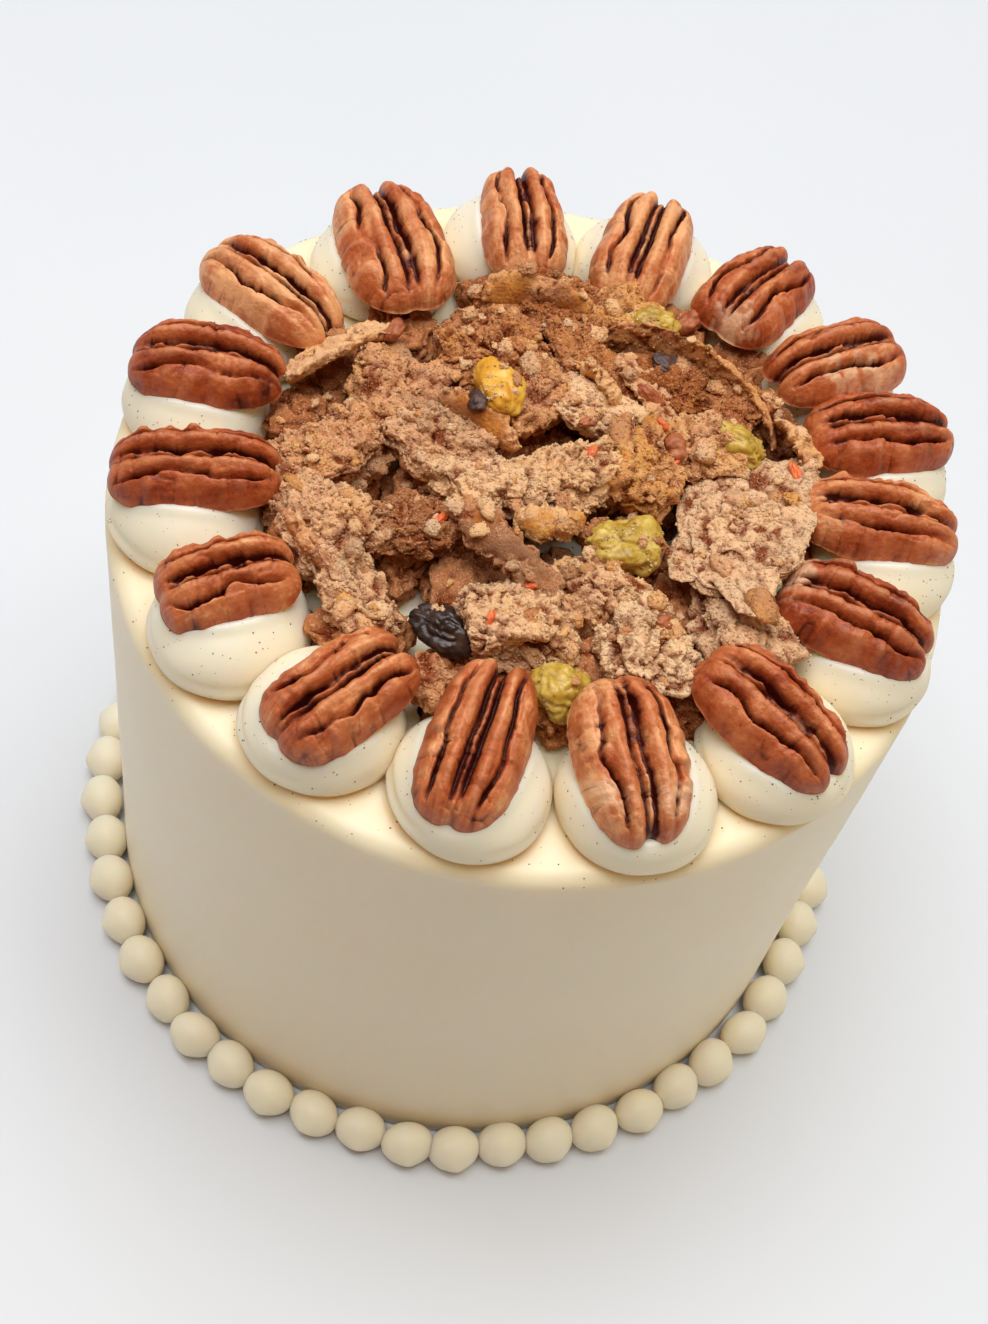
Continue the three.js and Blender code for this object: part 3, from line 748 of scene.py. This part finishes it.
def crumb_finish():
    finish, make, coordinates = new_finish("cake_crumb")
    # deep is the painted shade in the hollows and cracks
    crust, deep, paleness, hue = painted_values(make, "crust", "hollow", "paleness", "hue")
    fine = noise(make, coordinates, 1500, 3, 0.7)
    sugar = noise(make, coordinates, 2600, 2, 0.5)
    drift = maths(make, "MULTIPLY_ADD", noise(make, coordinates, 95, 3, 0.6), 1.6, -0.8)
    damp, plain, golden = (0.42, 0.19, 0.085), (0.7, 0.31, 0.135), (0.8, 0.36, 0.085)
    colour = colour_steps(make, maths(make, "ADD", hue, drift), [(0.1, damp), (0.45, plain), (0.95, golden)])
    light = maths(make, "MULTIPLY_ADD", fine, 0.8, paleness)
    for value, low, high, least, most, tint in (
        # Darker where the crumb is least pale: partly its own tone, partly painted shade
        (light, 0.2, 1.0, 0.85, 0.0, (0.38, 0.105, 0.015)),
        # Paler where it is palest: partly its own tone, partly a painted highlight on the grains
        (light, 0.8, 1.4, 0.0, 0.8, (0.98, 0.69, 0.42)),
        # Painted shade in the hollows and cracks
        (deep, 0.22, 0.75, 0.0, 0.95, (0.24, 0.04, 0.003)),
        (sugar, 0.58, 0.66, 0.0, 0.35, (1.0, 0.83, 0.6)),
        (sugar, 0.35, 0.3, 0.0, 0.5, (0.06, 0.014, 0.004)),
    ):
        colour = blend(make, between(make, value, low, high, least, most), colour, tint)
    baked = colour_steps(make, maths(make, "MULTIPLY_ADD", hue, 0.6, drift), [
        (0.0, (0.34, 0.16, 0.08)), (0.3, (0.48, 0.16, 0.035)),
        (0.55, (0.7, 0.29, 0.06)), (0.8, (0.85, 0.45, 0.12)),
    ])
    baked = blend(make, between(make, fine, 0.3, 0.55, 0.5, 0.0), baked, (0.26, 0.06, 0.01))
    colour = blend(make, crust, colour, baked)
    gloss = between(make, fine, 0.3, 0.7, 0.45, 0.8)
    add_surface(make, colour, gloss, (fine, 0.8, 0.0007), 0.12, (0.3, (1.0, 0.6, 0.35), 0.0012))
    return finish


cake_crumb = crumb_finish()
draw = np.random.default_rng(8)


# The lowest offcuts lie in rings: how many, and how far out
LOWER_RINGS = [(3, 9), (8, 23), (11, 36), (17, 48)]
lower_heap = Heap()
for ring, (how_many, distance) in enumerate(LOWER_RINGS):
    for i in range(how_many):
        azimuth = 2 * math.pi * (i + 0.45 * ring + draw.uniform(-0.2, 0.2)) / how_many
        out = distance + draw.uniform(-2.5, 2.5)
        x, y = out * math.cos(azimuth), out * math.sin(azimuth)
        if any(math.hypot(x - gap_x, y - gap_y) < GAP_CLEARANCE for gap_x, gap_y in HEAP_GAPS):
            continue
        long = draw.uniform(6.5, 9.5)
        half = (long, long * draw.uniform(0.7, 0.95), draw.uniform(3.6, 5.4))
        chunk = torn_chunk(half, int(draw.integers(1000)), 5)
        spin = draw.uniform(0, 360), draw.uniform(-16, 16), draw.uniform(-16, 16)
        at = x, y, draw.uniform(2.2, 4.0)
        # The lowest offcuts get low paleness: a painted shade for where they lie under the upper pieces
        lower_heap.add(chunk, at, *spin, draw.uniform(0.0, 0.25), draw.uniform(0.1, 0.7))
heap_lower = lower_heap.piece("cake_offcuts_lower", cake_crumb)

# The upper offcuts as they were laid: place, half sizes, turn, tilt, roll, crust side, paleness, hue
OFFCUTS = [
    ((37, -7.5, 13.6), (20, 11.5, 2.4), 82, 5, -8, None, 0.8, 0.4),
    ((-14, 23, 12), (10.5, 8, 5.0), 18, -8, 12, None, 0.25, 0.45),
    ((-4, 14, 12.0), (8, 6.5, 5.0), 60, -10, 18, None, 0.45, 0.6),
    ((-21, -1, 11), (11.5, 8.0, 4.2), 0, 6, 16, (0.1, -1, 0.0), 0.6, 0.4),
    ((-7, -9.5, 12.5), (10, 7.0, 4.6), 20, 4, -10, None, 0.8, 0.6),
    ((4, -5.5, 12.8), (9.5, 7.0, 4.4), 14, -8, 8, (1, 0.6, 0.1), 0.75, 0.85),
    ((-35, -28, 10), (10, 8.5, 5.2), -20, -8, 6, None, 0.65, 0.55),
    ((-22, -22, 10.5), (11.5, 7.0, 4.2), 35, 6, -8, None, 0.2, 0.05),
    ((1, -36, 10), (10.5, 7.5, 5.0), 12, 6, -8, None, 0.75, 0.5),
    ((14, -27, 11), (8.5, 6.5, 4.8), -30, -6, 10, None, 0.7, 0.75),
    ((25, -37, 10), (9.5, 8.0, 5.0), -18, 5, 0, None, 0.95, 0.8),
    ((-37, -6, 10.5), (10.5, 8.0, 5.0), 40, -6, 0, None, 0.5, 0.45),
    ((-31, 9, 10), (9, 8, 4.6), 80, 8, 6, None, 0.5, 0.5),
    ((-10, 40, 10), (12, 7.0, 4.6), 8, 0, 14, None, -0.1, 0.35),
    ((5, 26, 11.5), (11, 6.0, 3.6), -62, 8, 10, (1, 1, 0.3), 0.1, 0.6),
    ((20, 3, 14.0), (6.5, 9.5, 5.4), -12, 6, 0, (-1, 0.1, 0.35), 0.45, 0.8),
    ((28, 9, 11.5), (9, 7, 4.6), 30, 0, 10, None, 0.55, 0.7),
    ((20, 25, 10.5), (9.5, 6.5, 4.4), 10, 6, -14, None, -0.2, 0.25),
    ((34, 25, 10), (8.5, 6.5, 4.4), -40, 0, 10, None, 0.0, 0.5),
    ((43, -25, 10), (9.0, 9.0, 4.2), 10, 8, 0, None, 0.75, 0.35),
    ((16, -14, 11), (8, 6, 4.2), 30, 0, -12, None, 0.25, 0.45),
    ((-42, -20, 9), (7.5, 7.5, 4.6), 0, -6, 0, None, 0.55, 0.45),
    ((-26, -40, 9), (8.5, 6.0, 4.6), -42, 4, 4, None, 0.7, 0.55),
    ((-8, -52, 6.5), (6.5, 4.5, 3.8), -20, 4, 4, None, 0.4, 0.45),
    ((6, 14, 13.2), (9.0, 5.5, 2.8), -12, 4, -6, None, 0.85, 0.65),
    ((8, 42, 9.5), (8.5, 6, 4.2), 30, 0, 12, None, 0.45, 0.7),
]
upper_pieces, every_crumb = [], Heap()
for group in range(4):
    upper_heap = Heap()
    for at, half, turn, tilt, roll, way, paleness, hue in OFFCUTS[group::4]:
        chunk = torn_chunk(half, int(draw.integers(1000)), 6 if half[0] > 9 else 5, way)
        upper_heap.add(chunk, at, turn, tilt, roll, paleness, hue)
    every_crumb.take(upper_heap)
    upper_pieces.append(upper_heap.piece(f"cake_offcuts_upper_{group + 1}", cake_crumb))


def torn_sheet(path, width, thickness, lean, seed, curl=0.0):
    """A strip of crust that follows a path: baked on the side it leans to, torn crumb on the other."""
    steps, around = 76, 36
    path = np.array(path, float)
    knots = np.linspace(0, 1, len(path))
    place = np.linspace(0, 1, steps)
    degree = min(len(path) - 1, 3)
    middle = np.stack([np.polyval(np.polyfit(knots, path[:, k], degree), place) for k in range(3)], axis=1)
    forward = np.gradient(middle, axis=0)
    forward /= np.linalg.norm(forward, axis=1)[:, None]
    level = np.cross(forward, (0, 0, 1.0))
    level /= np.linalg.norm(level, axis=1)[:, None]
    rise = np.cross(level, forward)
    slope = np.radians(lean) + curl * (place - 0.5)
    up = rise * np.cos(slope)[:, None] + level * np.sin(slope)[:, None]
    face = level * np.cos(slope)[:, None] - rise * np.sin(slope)[:, None]
    ends = np.sqrt(np.clip(1 - np.abs(2 * place - 1) ** 5, 0, 1)) * 0.97 + 0.03
    ragged = np.column_stack([place * 9, np.full(steps, seed * 1.7), np.zeros(steps)])
    high = width / 2 * ends * (1 + 0.2 * lumps(ragged, 1.0, seed) + 0.14 * lumps(ragged, 0.35, seed + 1))
    angle = np.linspace(0, 2 * math.pi, around, endpoint=False)
    flat, tall = np.sign(np.cos(angle)) * np.abs(np.cos(angle)) ** 0.6, np.sin(angle)
    arch = 0.22 * width * (1 - tall**2)
    thick = thickness / 2 * (0.5 + 0.5 * ends)
    points = [
        middle[i] + np.outer(thick[i] * flat + 0.4 * arch, face[i]) + np.outer(high[i] * tall, up[i])
        for i in range(steps)
    ]
    outward = [np.outer(flat, face[i]) + np.outer(0.5 * tall, up[i]) for i in range(steps)]
    points, outward = np.vstack(points), np.vstack(outward)
    crust = np.tile(np.clip(flat * 2 + 0.2, 0, 1) * np.clip(1.6 - 1.9 * np.abs(tall) ** 2, 0, 1), steps)
    crust *= np.clip(0.85 + 1.7 * lumps(points, 3.2, seed + 8), 0, 1)
    outward /= np.linalg.norm(outward, axis=1)[:, None]
    points, shade_in_hollows = roughened(points, outward, crust, seed, 0.6)
    tips = [points[:around].mean(axis=0), points[-around:].mean(axis=0)]
    quads = turned_faces(steps, around)
    triangles = [(a, b, c) for a, b, c, d in quads] + [(a, c, d) for a, b, c, d in quads]
    faces = capped(triangles, steps, around)
    return np.vstack([points, tips]), faces, np.append(crust, (0, 0)), np.append(shade_in_hollows, (0.4, 0.4))


# Crusts: the path of each, its width, thickness, lean and curl, then paleness and hue
CRUSTS = [
    ([(42, 17, 11), (37, 25, 13.5), (27, 31, 15), (16, 34.5, 15), (5, 33, 13)], 6.5, 1.8, 0, 0.5, 0.45, 0.7),
    ([(-52, 6, 11), (-47, 12, 13), (-40, 19, 14), (-34, 22, 13)], 9, 2.6, 52, 0.3, 0.7, 0.7),
    ([(42, 23, 13), (47, 19, 14.5), (50, 13, 13)], 8, 2.2, 50, 0.4, 0.6, 0.7),
    ([(12.5, 12, 15), (13.5, 5, 16), (15, -1, 14.5), (19, -7, 12.5)], 8, 2.2, -20, 0.2, 0.6, 0.8),
    ([(-14, -17, 14), (-6, -22, 15), (2, -27, 13.5), (6, -34, 11)], 8, 2.4, -58, 0.2, 0.45, 0.12),
    ([(3, 22, 15), (7, 20.5, 16.5), (11, 15.5, 15)], 5, 2.6, 30, 0.3, 0.7, 1.0),
    ([(-2, -15, 14.5), (3, -17.5, 16), (9, -14, 16)], 6, 3.0, -50, 0.2, 0.7, 1.0),
    ([(-44, -24, 11), (-36, -32, 12), (-28, -38, 11)], 6, 3.0, 20, 0.2, 0.5, 0.6),
    ([(-22, 8, 14), (-13, 5, 15), (-6, 0, 13)], 5, 3.0, -40, 0.3, 0.5, 0.7),
    ([(-20, 37, 12), (-10, 41, 14), (2, 40, 13)], 7, 3.0, -25, 0.3, 0.5, 0.8),
    ([(41, -14, 10), (43, -21, 11), (46, -29, 9)], 9, 2.0, 60, 0.2, 0.4, 0.1),
    ([(10, 30, 14), (16, 23, 14), (22, 17, 12)], 9, 2.4, 70, 0.3, 0.6, 0.5),
]
crust_heap = Heap()
for path, width, thickness, lean, curl, paleness, hue in CRUSTS:
    sheet = torn_sheet(path, width, thickness, lean, int(draw.integers(1000)), curl)
    crust_heap.add(sheet, paleness=paleness, hue=hue)
every_crumb.take(crust_heap)
heap_crust = crust_heap.piece("cake_crust_strips", cake_crumb)
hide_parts("crumbled_cake")
for offcuts in (heap_lower, *upper_pieces, heap_crust):
    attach(offcuts, "root")


# ---- The dried fruit ----
# Raisins, golden raisins and a piece of candied fruit were baked into the cake. They lie bare where
# it tore, shrivelled and a little sticky, so that fine crumb clings to them.

# Name of the piece and of its node, finish, middle above the cake's top, half sizes, turn
FRUITS = [
    ("raisin_dark", "raisin", "raisin", (-10, -41, 9.3), (6.2, 4.2, 4.1), -20),
    ("golden_raisin_a", "golden_raisin_front", "golden_raisin", (12.4, -47.5, 8.3), (5.4, 5.0, 4.5), -35),
    ("golden_raisin_b", "golden_raisin_middle", "golden_raisin", (17.5, -16.5, 13.8), (7.2, 5.8, 4.6), 15),
    ("golden_raisin_c", "golden_raisin_right", "golden_raisin", (35, 14, 12.8), (6.0, 4.6, 4.2), -25),
    ("golden_raisin_d", "golden_raisin_back", "golden_raisin", (14.5, 41, 11.3), (6.0, 4.2, 4.0), 5),
    ("candied_fruit", "dried_fruit_piece", "dried_fruit", (-11.5, 11, 16.8), (4.4, 7.0, 3.8), 25),
]


def wrinkled_skin(half, seed, depth):
    """A shrivelled berry: folds run crookedly along it."""
    unit, faces = BALLS[5]
    bent = unit + 0.18 * np.stack([lumps(unit, 0.6, seed + k) for k in range(3)], axis=1)
    folds = 1 - np.abs(lumps(bent * (0.55, 1, 1), 0.3, seed + 5))
    creases = 1 - np.abs(lumps(bent, 0.16, seed + 6))
    swell = 1.04 + 0.22 * lumps(unit, 0.9, seed + 7) + 0.1 * lumps(unit, 0.45, seed + 8)
    return unit * (swell - depth * folds**3 - 0.45 * depth * creases**2)[:, None] * half, faces


def fruit_finish(name, dark, mid, light, clear):
    finish, make, coordinates = new_finish(name)
    blotches = noise(make, coordinates, 260, 3, 0.6)
    fine = noise(make, coordinates, 1400, 3, 0.6)
    colour = colour_steps(make, blotches, [(0.3, dark), (0.5, mid), (0.72, light)])
    gloss = between(make, fine, 0.3, 0.7, 0.2, 0.5)
    add_surface(make, colour, gloss, (fine, 0.25, 0.0003), soft=(clear, (1.0, 0.7, 0.25), 0.003))
    return finish


# Depth of the wrinkles, then the dark, the middle and the light colour, and how clear the flesh is
FRUIT_SKINS = {
    "raisin": (0.2, (0.014, 0.007, 0.005), (0.035, 0.018, 0.013), (0.1, 0.055, 0.036), 0.0),
    "golden_raisin": (0.15, (0.36, 0.2, 0.014), (0.56, 0.36, 0.05), (0.78, 0.58, 0.17), 0.35),
    "dried_fruit": (0.06, (0.6, 0.22, 0.015), (0.78, 0.4, 0.03), (0.88, 0.6, 0.12), 0.4),
}
fruit_skins = {kind: fruit_finish(kind + "_skin", *looks[1:]) for kind, looks in FRUIT_SKINS.items()}
fruit_pieces = []
for number, (name, node, skin, at, half, turn) in enumerate(FRUITS, 1):
    berry, berry_faces = wrinkled_skin(half, 3 * number, FRUIT_SKINS[skin][0])
    berry = turned_to(berry, turn, 0) + np.array(at) + (0, 0, CAKE_HEIGHT)
    fruit = new_piece(name, berry, berry_faces.tolist(), fruit_skins[skin])
    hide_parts(node)
    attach(fruit, "root")
    fruit_pieces.append(fruit)
    if skin != "raisin":
        bare_skin = np.clip(0.95 - 1.5 * lumps(berry, 4.0, number), 0, 1)
        every_crumb.add((berry - (0, 0, HEAP_FLOOR), berry_faces, bare_skin, 0.0), paleness=0.9, hue=0.6)


# ---- Loose crumbs ----
# Tearing the cake sheds crumbs, from pieces as big as a lentil down to single grains. They lie all
# over the offcuts and in the gaps.


def surface_of(*pieces):
    """What lies under a point: a search tree over the pieces."""
    points, faces = [], []
    for piece in pieces:
        first = len(points)
        points += [v.co for v in piece.data.vertices]
        faces += [[first + i for i in face.vertices] for face in piece.data.polygons]
    return BVHTree.FromPolygons(points, faces)


heap_surface = surface_of(heap_lower, heap_crust, *upper_pieces, *fruit_pieces)


def heap_top(x, y):
    """How high the heap stands at a place, or the cake's top where it is bare."""
    hit = heap_surface.ray_cast(Vector((x, y, 200)) * MM, Vector((0, 0, -1)))[0]
    return hit.z / MM if hit else HEAP_FLOOR


# How many crumbs, how far out they lie, how far the large ones keep from fruit, and one in how many is baked
LOOSE_CRUMBS = 260
HEAP_REACH = 53
FRUIT_CLEARANCE = 6.5
BAKED_ONE_IN = 9
crumb_heap = Heap()
for i in range(LOOSE_CRUMBS):
    out, azimuth = HEAP_REACH * math.sqrt(draw.uniform(0, 1)), draw.uniform(0, 2 * math.pi)
    x, y = out * math.cos(azimuth), out * math.sin(azimuth)
    size = 0.6 + 1.5 * draw.uniform(0, 1) ** 2
    if size > 0.9 and any(math.hypot(x - at[0], y - at[1]) < FRUIT_CLEARANCE for _, _, _, at, _, _ in FRUITS):
        continue
    half = (size * draw.uniform(0.9, 1.5), size, size * draw.uniform(0.5, 0.8))
    unit, crumb_faces = BALLS[2]
    seed = int(draw.integers(1000))
    rough = 1 + 0.4 * lumps(unit, 0.8, seed) + 0.3 * lumps(unit, 0.4, seed)
    rough += 0.3 * (grains(unit, 0.5, seed) - 0.4)
    baked = 0.0
    if i % BAKED_ONE_IN == 0:
        half, baked = np.array(half) * (1.5, 1.3, 0.9), 0.55
        rough = rough + 0.5 * lumps(unit, 1.1, seed + 1)
    # Painted shade where the crumb's surface dips
    crumb = (unit * rough[:, None] * half, crumb_faces, baked, np.clip(0.8 - rough, 0, 1))
    at = (x, y, heap_top(x, y) - HEAP_FLOOR + 0.15 * half[2])
    spin = draw.uniform(0, 360), draw.uniform(-30, 30), 0
    crumb_heap.add(crumb, at, *spin, draw.uniform(0.4, 0.8), draw.uniform(0.2, 0.9))
heap_crumbs = crumb_heap.piece("cake_loose_crumbs", cake_crumb)
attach(heap_crumbs, "root")
every_crumb.take(crumb_heap)


def scatter(make, given, item):
    """Items spread over upward faces, fewer on smooth skin, each with its own size and turn."""
    upward = make("ShaderNodeSeparateXYZ", {0: make("GeometryNodeInputNormal").outputs[0]}).outputs[2]
    smooth_skin = make("GeometryNodeInputNamedAttribute", {"Name": "crust"}, data_type="FLOAT").outputs[0]
    bare = make("ShaderNodeMath", {0: 1.0, 1: smooth_skin}, operation="SUBTRACT", use_clamp=True).outputs[0]
    where = {
        "Mesh": given["Geometry"],
        "Selection": maths(make, "GREATER_THAN", upward, given["Least Upward"]),
        "Density": maths(make, "MULTIPLY", bare, given["Density"]),
        "Seed": given["Seed"],
    }
    spread = make("GeometryNodeDistributePointsOnFaces", where).outputs[0]
    spin = random_value(make, given["Seed"], (0.0, 0.0, 0.0), (6.28, 6.28, 6.28))
    turn = make("FunctionNodeEulerToRotation", {0: spin}).outputs[0]
    skewed = maths(make, "POWER", random_value(make, given["Seed"], 0.0, 1.0), 1.7)
    size = between(make, skewed, 0.0, 1.0, given["Least Size"], given["Most Size"])
    return real_copies(make, spread, item, turn, size)


def scattering(density, least, most, upward, seed):
    """Settings for a scatter: items per square metre, sizes in metres, how far a face must look up."""
    return {"Density": density, "Least Size": least, "Most Size": most, "Least Upward": upward, "Seed": seed}


# One grain, a metre across until it is scattered at its own size
corners = [(1, 0, 0), (-1, 0.1, 0), (0, 0.9, 0.1), (0.1, -0.9, 0), (0, 0, 0.8), (0.1, 0, -0.8)]
corners = np.array(corners) * 500
sides = [(0, 2, 4), (2, 1, 4), (1, 3, 4), (3, 0, 4), (2, 0, 5), (1, 2, 5), (3, 1, 5), (0, 3, 5)]
for number, seed in enumerate((6, 7, 8), 1):
    grain = new_piece("crumb_grain", corners, sides, cake_crumb)
    host = every_crumb.piece("scatter_host", cake_crumb)
    spread = scattering(480000.0, 0.0004, 0.0011, -0.1, seed)
    dust = piece_from_nodes(f"cake_grains_{number}", host, grain, cake_crumb, scatter, spread)
    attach(dust, "root")


# ---- Carrot, nut and raisin bits ----
# Grated carrot, chopped pecan and cut raisin are mixed into the cake's crumb. Bits of each show
# where it tore, lying on the offcuts.


def plain_finish(name, first, second, roughness, scale=400):
    finish, make, coordinates = new_finish(name)
    mottle = noise(make, coordinates, scale, 3, 0.6)
    colour = colour_steps(make, mottle, [(0.35, first), (0.65, second)])
    add_surface(make, colour, roughness, (mottle, 0.4, 0.0004))
    return finish


# By kind: place (the height is found from the heap), half sizes, turn
BITS = {
    "carrot_shreds": (plain_finish("carrot", (0.62, 0.07, 0.012), (0.85, 0.2, 0.04), 0.4), [
        ((-16, -20.5), (1.9, 0.9, 0.7), 60), ((-3, -41), (1.7, 1, 0.7), 80),
        ((21.5, 13.5), (2.2, 0.8, 0.6), 20), ((24, 5), (1.6, 0.8, 0.6), 100), ((20, 9), (1.4, 0.7, 0.6), -30),
        ((47, 10), (2.4, 0.9, 0.7), 120), ((44, 15), (2, 0.8, 0.7), 50), ((3, -30), (1.2, 0.7, 0.5), 10),
        ((8, -1), (1.5, 0.8, 0.6), 70),
    ]),
    "nut_bits": (plain_finish("chopped_pecan", (0.3, 0.06, 0.016), (0.52, 0.17, 0.06), 0.5), [
        ((22, 46), (3.4, 2.0, 1.9), 40), ((23, 7), (2.2, 2.8, 1.8), 10), ((17, 20), (3.0, 1.3, 1.2), -15),
        ((6, 8), (2.0, 1.1, 1.0), 35), ((-34, 20), (2.4, 1.6, 1.4), 60), ((27, -31), (2.0, 1.3, 1.2), 0),
    ]),
    "raisin_bits": (plain_finish("cut_raisin", (0.03, 0.013, 0.011), (0.13, 0.06, 0.045), 0.5), [
        ((-20.5, 13), (2, 4.4, 1.5), 20), ((-15, 6), (2, 2.6, 1.2), 0), ((18.5, 30), (3.2, 2.4, 1.2), 0),
    ]),
}
for name, (finish, places) in BITS.items():
    shapes = []
    for (x, y), half, turn in places:
        unit, unit_faces = BALLS[4]
        seed = int(draw.integers(1000))
        rough = 1 + 0.3 * lumps(unit, 0.8, seed) + 0.2 * lumps(unit, 0.35, seed + 1)
        bit = turned_to(unit * rough[:, None] * half, turn, draw.uniform(-25, 25))
        shapes.append((bit + (x, y, heap_top(x, y) + 0.15 * half[2]), unit_faces))
    bits = new_piece(name, *joined(shapes), finish)
    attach(bits, "root")


# ---- Ground spice ----
# A pinch of ground cinnamon and fine crumb has been dusted over the mounds and over the icing round
# them. Each speck is a fraction of a millimetre.

spice = plain_finish("ground_spice", (0.1, 0.03, 0.012), (0.3, 0.1, 0.035), 0.8, 900)
icing_tops = Heap()
for number in range(1, len(SERVINGS) + 1):
    mound = bpy.data.objects[f"icing_mound_piped_{number:02d}"]
    squares = [face.vertices[:] for face in mound.data.polygons if len(face.vertices) == 4]
    icing_tops.add((points_of(mound) - (0, 0, HEAP_FLOOR), squares, 0.0, 0.0))
cake_copy = bpy.data.objects.new("scatter_host", cake_body.data.copy())
bpy.context.collection.objects.link(cake_copy)
for name, host, density, upward, seed in (
    ("spice_on_mounds", icing_tops.piece("scatter_host", spice), 110000.0, 0.3, 3),
    ("spice_on_cake", cake_copy, 75000.0, 0.4, 5),
):
    speck = new_piece("spice_speck", corners, sides, spice, smooth=False)
    spread = scattering(density, 0.00018, 0.0005, upward, seed)
    speckle = piece_from_nodes(name, host, speck, spice, scatter, spread)
    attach(speckle, "root")


# ---- The stand-in table, the light and the camera ----
# A pale floor under soft daylight from large windows, brightest from above and behind. The camera
# stands in front of the cake and looks down on it, turned a little about its own axis.

FLOOR_REACH = 3000


def stage_floor():
    finish, make, coordinates = new_finish("pale_floor")
    pale = [(0.3, (0.7, 0.74, 0.785)), (0.7, (0.74, 0.775, 0.815))]
    mottled = colour_steps(make, noise(make, coordinates, 3, 3, 0.5), pale)
    add_surface(make, mottled, 0.6)
    corners = FLOOR_REACH * np.array([(-1, -1, 0), (1, -1, 0), (1, 1, 0), (-1, 1, 0)])
    floor = new_piece("floor", corners, [(0, 1, 2, 3)], finish)


def window(name, place, target, size, power, colour):
    light = bpy.data.lights.new(name, "AREA")
    light.shape = "RECTANGLE"
    light.size, light.size_y = size
    light.energy = power
    light.color = colour
    lamp = bpy.data.objects.new(name, light)
    lamp.location = place
    lamp.rotation_euler = (Vector(target) - Vector(place)).to_track_quat("-Z", "Y").to_euler()
    bpy.context.collection.objects.link(lamp)


stage_floor()
window("overhead", (-0.1, 0.2, 2.0), (0, 0, 0.1), (1.8, 1.6), 47, (0.965, 0.985, 1.0))
window("left_window", (-1.3, 0.15, 0.7), (0, 0, 0.08), (1.2, 1.0), 1.8, (0.92, 1.0, 0.95))
window("right_window", (1.3, 0.1, 0.7), (0, 0, 0.08), (1.2, 1.0), 3.1, (1.0, 0.95, 0.6))
window("back_window", (0.0, 1.3, 1.0), (0, 0, 0.1), (1.6, 1.0), 3.0, (0.5, 0.75, 1.0))
world = bpy.data.worlds.new("room")
world.use_nodes = True
background = world.node_tree.nodes["Background"].inputs
background["Color"].default_value = (1.0, 0.5, 0.22, 1)
background["Strength"].default_value = 0.146
bpy.context.scene.world = world
bpy.context.scene.view_settings.view_transform = "Standard"

# Where the camera stands, which way it looks, and its focal length for the height of its sensor
EYE = Vector((0.0, -226.8, 413.8)) * MM
LOOK_DOWN, LOOK_ASIDE, ROLL = math.radians(56.58), math.radians(-0.14), math.radians(13.37)
SENSOR = 36
FOCAL = 1873.5 / 1324 * SENSOR

forward = Vector((
    math.sin(LOOK_ASIDE) * math.cos(LOOK_DOWN),
    math.cos(LOOK_ASIDE) * math.cos(LOOK_DOWN),
    -math.sin(LOOK_DOWN),
))
level = Vector((math.cos(LOOK_ASIDE), -math.sin(LOOK_ASIDE), 0))
upright = level.cross(forward)
right = math.cos(ROLL) * level + math.sin(ROLL) * upright
above = -math.sin(ROLL) * level + math.cos(ROLL) * upright
lens = bpy.data.cameras.new("camera")
lens.sensor_fit = "VERTICAL"
lens.sensor_height = SENSOR
lens.lens = FOCAL
lens.clip_start = 0.01
camera = bpy.data.objects.new("camera", lens)
camera.matrix_world = Matrix.Translation(EYE) @ Matrix((right, above, -forward)).transposed().to_4x4()
bpy.context.collection.objects.link(camera)
bpy.context.scene.camera = camera
